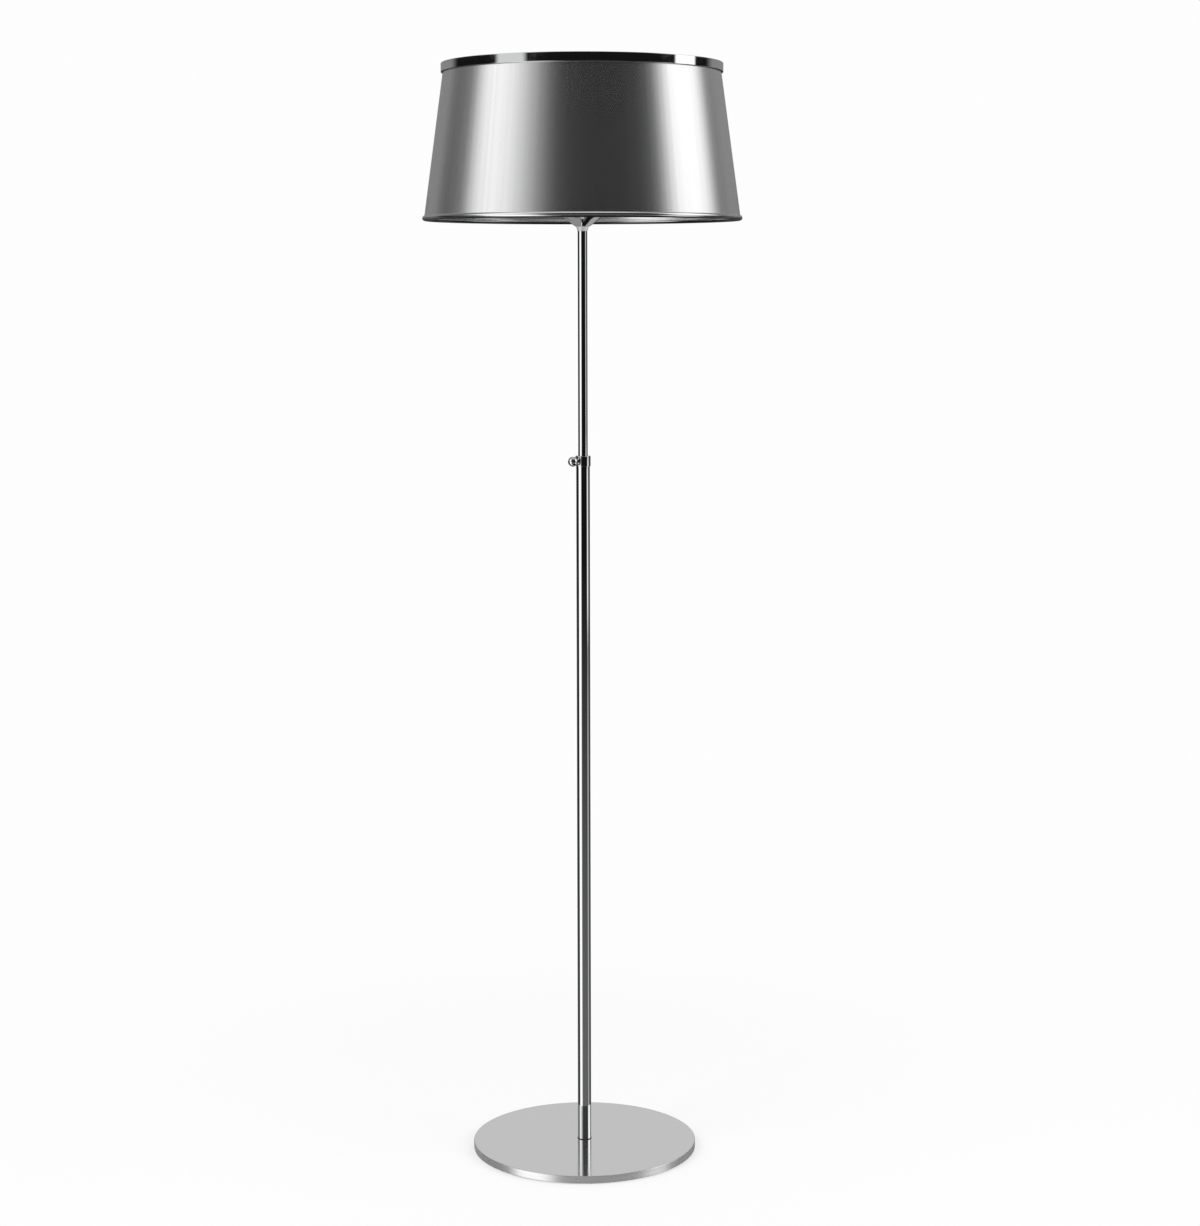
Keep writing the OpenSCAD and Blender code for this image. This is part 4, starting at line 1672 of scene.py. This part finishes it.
@dataclass
class Studio:
    """The floor, the light and the camera."""

    white: float = 0.985
    even: float = 0.72
    floor_radius: float = 12.0
    floor_sides: int = 96
    floor_near: Fade = Fade(0.2, 1.2, 0.5, 0.0)
    paper: Colour = (0.97, 0.97, 0.97)
    # The room: a grey wall behind, which the plate sees brighter, a floor ahead and below, and a ceiling
    behind: Fade = Fade(118, 134)
    wall: Fade = Fade(1, 4, 0.09, 0.26)
    plate_aside: Fade = Fade(162, 171)
    plate_wall: Fade = Fade(12, 15, 0.0, 0.63)
    ahead: Fade = Fade(55, 85, 1.0, 0.35)
    ground: Fade = Fade(-19, -4, 0.145, 0.0)
    dark: Fade = Fade(6, 11, 0.008, 0.032)
    under_aside: Fade = Fade(80, 100, 0.02, 0.15)
    under: Fade = Fade(-79, -73, 1.0, 0.0)
    shallow: Fade = Fade(-44, -36)
    ceiling: Fade = Fade(48, 78, 0.0, 0.75)
    lamps: tuple[Lamp, ...] = (
        Lamp("key_lamp", (-1.9, -1.3, 2.1), 1.6, 26),
        Lamp("fill_lamp", (2.1, -0.5, 1.7), 1.6, 18),
    )
    lens: float = 74.34
    view_depth: float = 60.0
    camera_at: tuple[float, float, float] = (22.05 * MM, -3323.6 * MM, 1168.7 * MM)
    pitch: float = math.radians(90 - 7.5)
    roll: float = math.radians(-0.087)
    panels: tuple[Panel, ...] = (
        Panel("key, seen by the shade", -92, -45, 8, 64, 1.2, soft=10, soft_right=29),
        Panel("key, seen by the ring", -72, -46, 2.5, 8, 0.75, soft=3, soft_up=1.5),
        Panel("key, seen by the poles", -77, -33, -75, 2.5, 1.25, soft_right=10, soft_up=1.5),
        Panel("fill, seen by the shade", 68, 113, 8, 50, 1.38, soft=9),
        Panel("fill, seen by the ring", 81, 104, 2.5, 8, 1.3, soft=1.5, soft_up=1.5),
        Panel("fill, seen by the upper pole", 68, 95, -4, 2.5, 0.6, soft_up=1.5),
        Panel("fill, seen by the collar", 68, 95, -8, -3.5, 0.95, soft_up=1),
        Panel("fill, seen by the lower pole", 68, 95, -30, -8, 0.45),
        Panel("left wall, seen by the shade", -150, -90, 7, 60, 0.14),
        Panel("right wall, seen by the shade", 110, 150, 7, 60, 0.15),
        Panel("left wall, seen by the poles", -150, -128, -30, 2.5, 0.13),
        Panel("right wall, seen by the poles", 96, 130, -30, 2.5, 0.05),
        Panel("fill, seen by the plate's edge", 64, 98, -40, -20.5, 1.1, soft_up=1),
        Panel("low left floor, seen by the bell", -168, -122, -80, -34, 0.3, soft=6),
        Panel("left floor, seen by the bell", -168, -152, -36, -14, 0.3),
        Panel("right floor, seen by the bell", 134, 172, -58, -22, 0.4, soft=3, soft_up=2),
    )

    def build(self) -> None:
        """Build the studio."""
        scene = bpy.context.scene
        scene.view_settings.view_transform = "Standard"
        self.world(scene)
        self.floor()
        for lamp in self.lamps:
            self.hang(lamp)
        self.camera(scene)

    @staticmethod
    def panel_group() -> Tree:
        """Build the node group that draws one panel.

        Returns:
            The group.
        """
        edges = ["left", "right", "low", "high", "soft", "soft_right", "soft_up"]
        graph = SharedGraph("light_panel", [], ["azimuth", "elevation", "level", *edges], ["Light"])
        put = graph.given

        def step(value: str, edge: str, soft: str) -> Socket:
            """A soft step up at an edge."""
            ends = (graph.math(way, put[edge], put[soft]) for way in ("SUBTRACT", "ADD"))
            return graph.span(put[value], *ends)

        left_of = graph.inverse(step("azimuth", "right", "soft_right"))
        below = graph.inverse(step("elevation", "high", "soft_up"))
        across = graph.times(step("azimuth", "left", "soft"), left_of)
        up = graph.times(step("elevation", "low", "soft_up"), below)
        return graph.give(Light=graph.times(across, up, put["level"]))

    def world(self, scene: bpy.types.Scene) -> None:
        """Light the object evenly, with a white backdrop and the panels for what polished metal mirrors.

        Args:
            scene: The scene that gets the world.
        """
        scene.world = world = bpy.data.worlds.new("studio")
        world.use_nodes = True
        # The light differs by kind of ray, which only rays that reach it by themselves can tell
        world.cycles.sampling_method = "NONE"
        graph = Graph(world.node_tree)
        x, y, z = graph.parts(graph.node("TexCoord").outputs["Generated"])
        degrees = graph.times(graph.math("ARCTAN2", x, graph.times(y, -1.0)), 180 / math.pi)
        rise = graph.times(graph.math("ARCSINE", z), 180 / math.pi)
        tree = self.panel_group()
        way = {"azimuth": degrees, "elevation": rise}
        lights = [
            graph.node("Group", way | panel.values(), node_tree=tree, label=panel.name).outputs["Light"]
            for panel in self.panels
        ]
        total = graph.largest(self.room(graph, degrees, rise), *lights)
        even, mirrored, backdrop = (
            graph.node("Background", {"Color": WHITE, "Strength": strength}).outputs[0]
            for strength in (self.even, total, self.white)
        )
        glossy = graph.node("LightPath").outputs["Is Glossy Ray"]
        lit = graph.node("MixShader", {0: glossy, 1: even, 2: mirrored}).outputs[0]
        out = graph.node("MixShader", {0: graph.seen(), 1: lit, 2: backdrop}).outputs[0]
        graph.node("OutputWorld", {"Surface": out})

    def room(self, graph: Graph, degrees: Socket, rise: Socket) -> Socket:
        """The room behind the panels: a dark side towards the viewer, a grey wall behind, and a ceiling.

        Args:
            graph: The world's graph.
            degrees: Azimuth of the way that is looked along.
            rise: Its elevation.

        Returns:
            The room's light.
        """
        aside = graph.math("ABSOLUTE", degrees)

        def patch(across: Fade, up: Fade) -> Socket:
            """A patch of light that fades round the pole and up."""
            return graph.times(graph.span(aside, *across), graph.span(rise, *up))

        near = graph.largest(patch(self.ahead, self.ground), patch(self.behind, self.wall))
        shallow = graph.times(near, graph.span(rise, *self.shallow))
        low = graph.math("ADD", shallow, patch(self.under_aside, self.under))
        others = (graph.span(rise, *self.dark), graph.span(rise, *self.ceiling))
        return graph.largest(low, patch(self.plate_aside, self.plate_wall), *others)

    def floor(self) -> None:
        """Lay the pale floor, which keeps a soft shadow near the lamp and fades into the backdrop."""
        clear_selection()
        bpy.ops.mesh.primitive_circle_add(
            vertices=self.floor_sides, radius=self.floor_radius, fill_type="NGON"
        )
        floor = bpy.context.object
        floor.name = "studio_floor"
        material, graph, here = start_material("pale_floor")
        near = graph.span(graph.vector("LENGTH", here, result="Value"), *self.floor_near)
        paper = graph.node("BsdfDiffuse", {"Color": (*self.paper, 1.0)}).outputs[0]
        glow = graph.node("Emission", {"Color": WHITE, "Strength": self.white}).outputs[0]
        clear = graph.node("BsdfTransparent").outputs[0]
        seen = graph.seen()
        far = graph.times(seen, graph.inverse(near))
        top = graph.node("MixShader", {0: far, 1: paper, 2: glow}).outputs[0]
        under = graph.times(graph.node("NewGeometry").outputs["Backfacing"], seen)
        finish_material(graph, graph.node("MixShader", {0: under, 1: top, 2: clear}))
        floor.data.materials.append(material)
        floor.visible_glossy = False
        floor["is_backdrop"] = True

    @staticmethod
    def hang(lamp: Lamp) -> None:
        """Hang a lamp that faces the middle of the object.

        Args:
            lamp: The lamp.
        """
        data = bpy.data.lights.new(lamp.name, "AREA")
        data.size = lamp.size
        data.energy = lamp.power
        hung = bpy.data.objects.new(lamp.name, data)
        bpy.context.scene.collection.objects.link(hung)
        hung.location = lamp.at
        low, high = BOX_AT_LOAD
        hung.rotation_euler = ((low + high) / 2 - Vector(lamp.at)).to_track_quat("-Z", "Y").to_euler()
        hung.visible_glossy = False
        hung.visible_camera = False

    def camera(self, scene: bpy.types.Scene) -> None:
        """Set the camera as the photograph's: a little below the shade's foot, and pitched down.

        Args:
            scene: The scene that gets the camera.
        """
        data = bpy.data.cameras.new("camera")
        data.lens = self.lens
        data.clip_end = self.view_depth
        scene.camera = camera = bpy.data.objects.new("camera", data)
        scene.collection.objects.link(camera)
        turned = Matrix.Rotation(self.pitch, 4, "X") @ Matrix.Rotation(self.roll, 4, "Z")
        camera.matrix_world = Matrix.Translation(self.camera_at) @ turned


BOX_AT_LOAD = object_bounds()


def main() -> None:
    """Build the lamp and its studio."""
    logging.basicConfig(level=logging.INFO, format="%(name)s: %(message)s")
    finishes = Finishes()
    Studio().build()
    for part in (Stand, Clamp, Mast, Lampholder, Shade, Hardware):
        part(finishes).build()


if __name__ == "__main__":
    main()
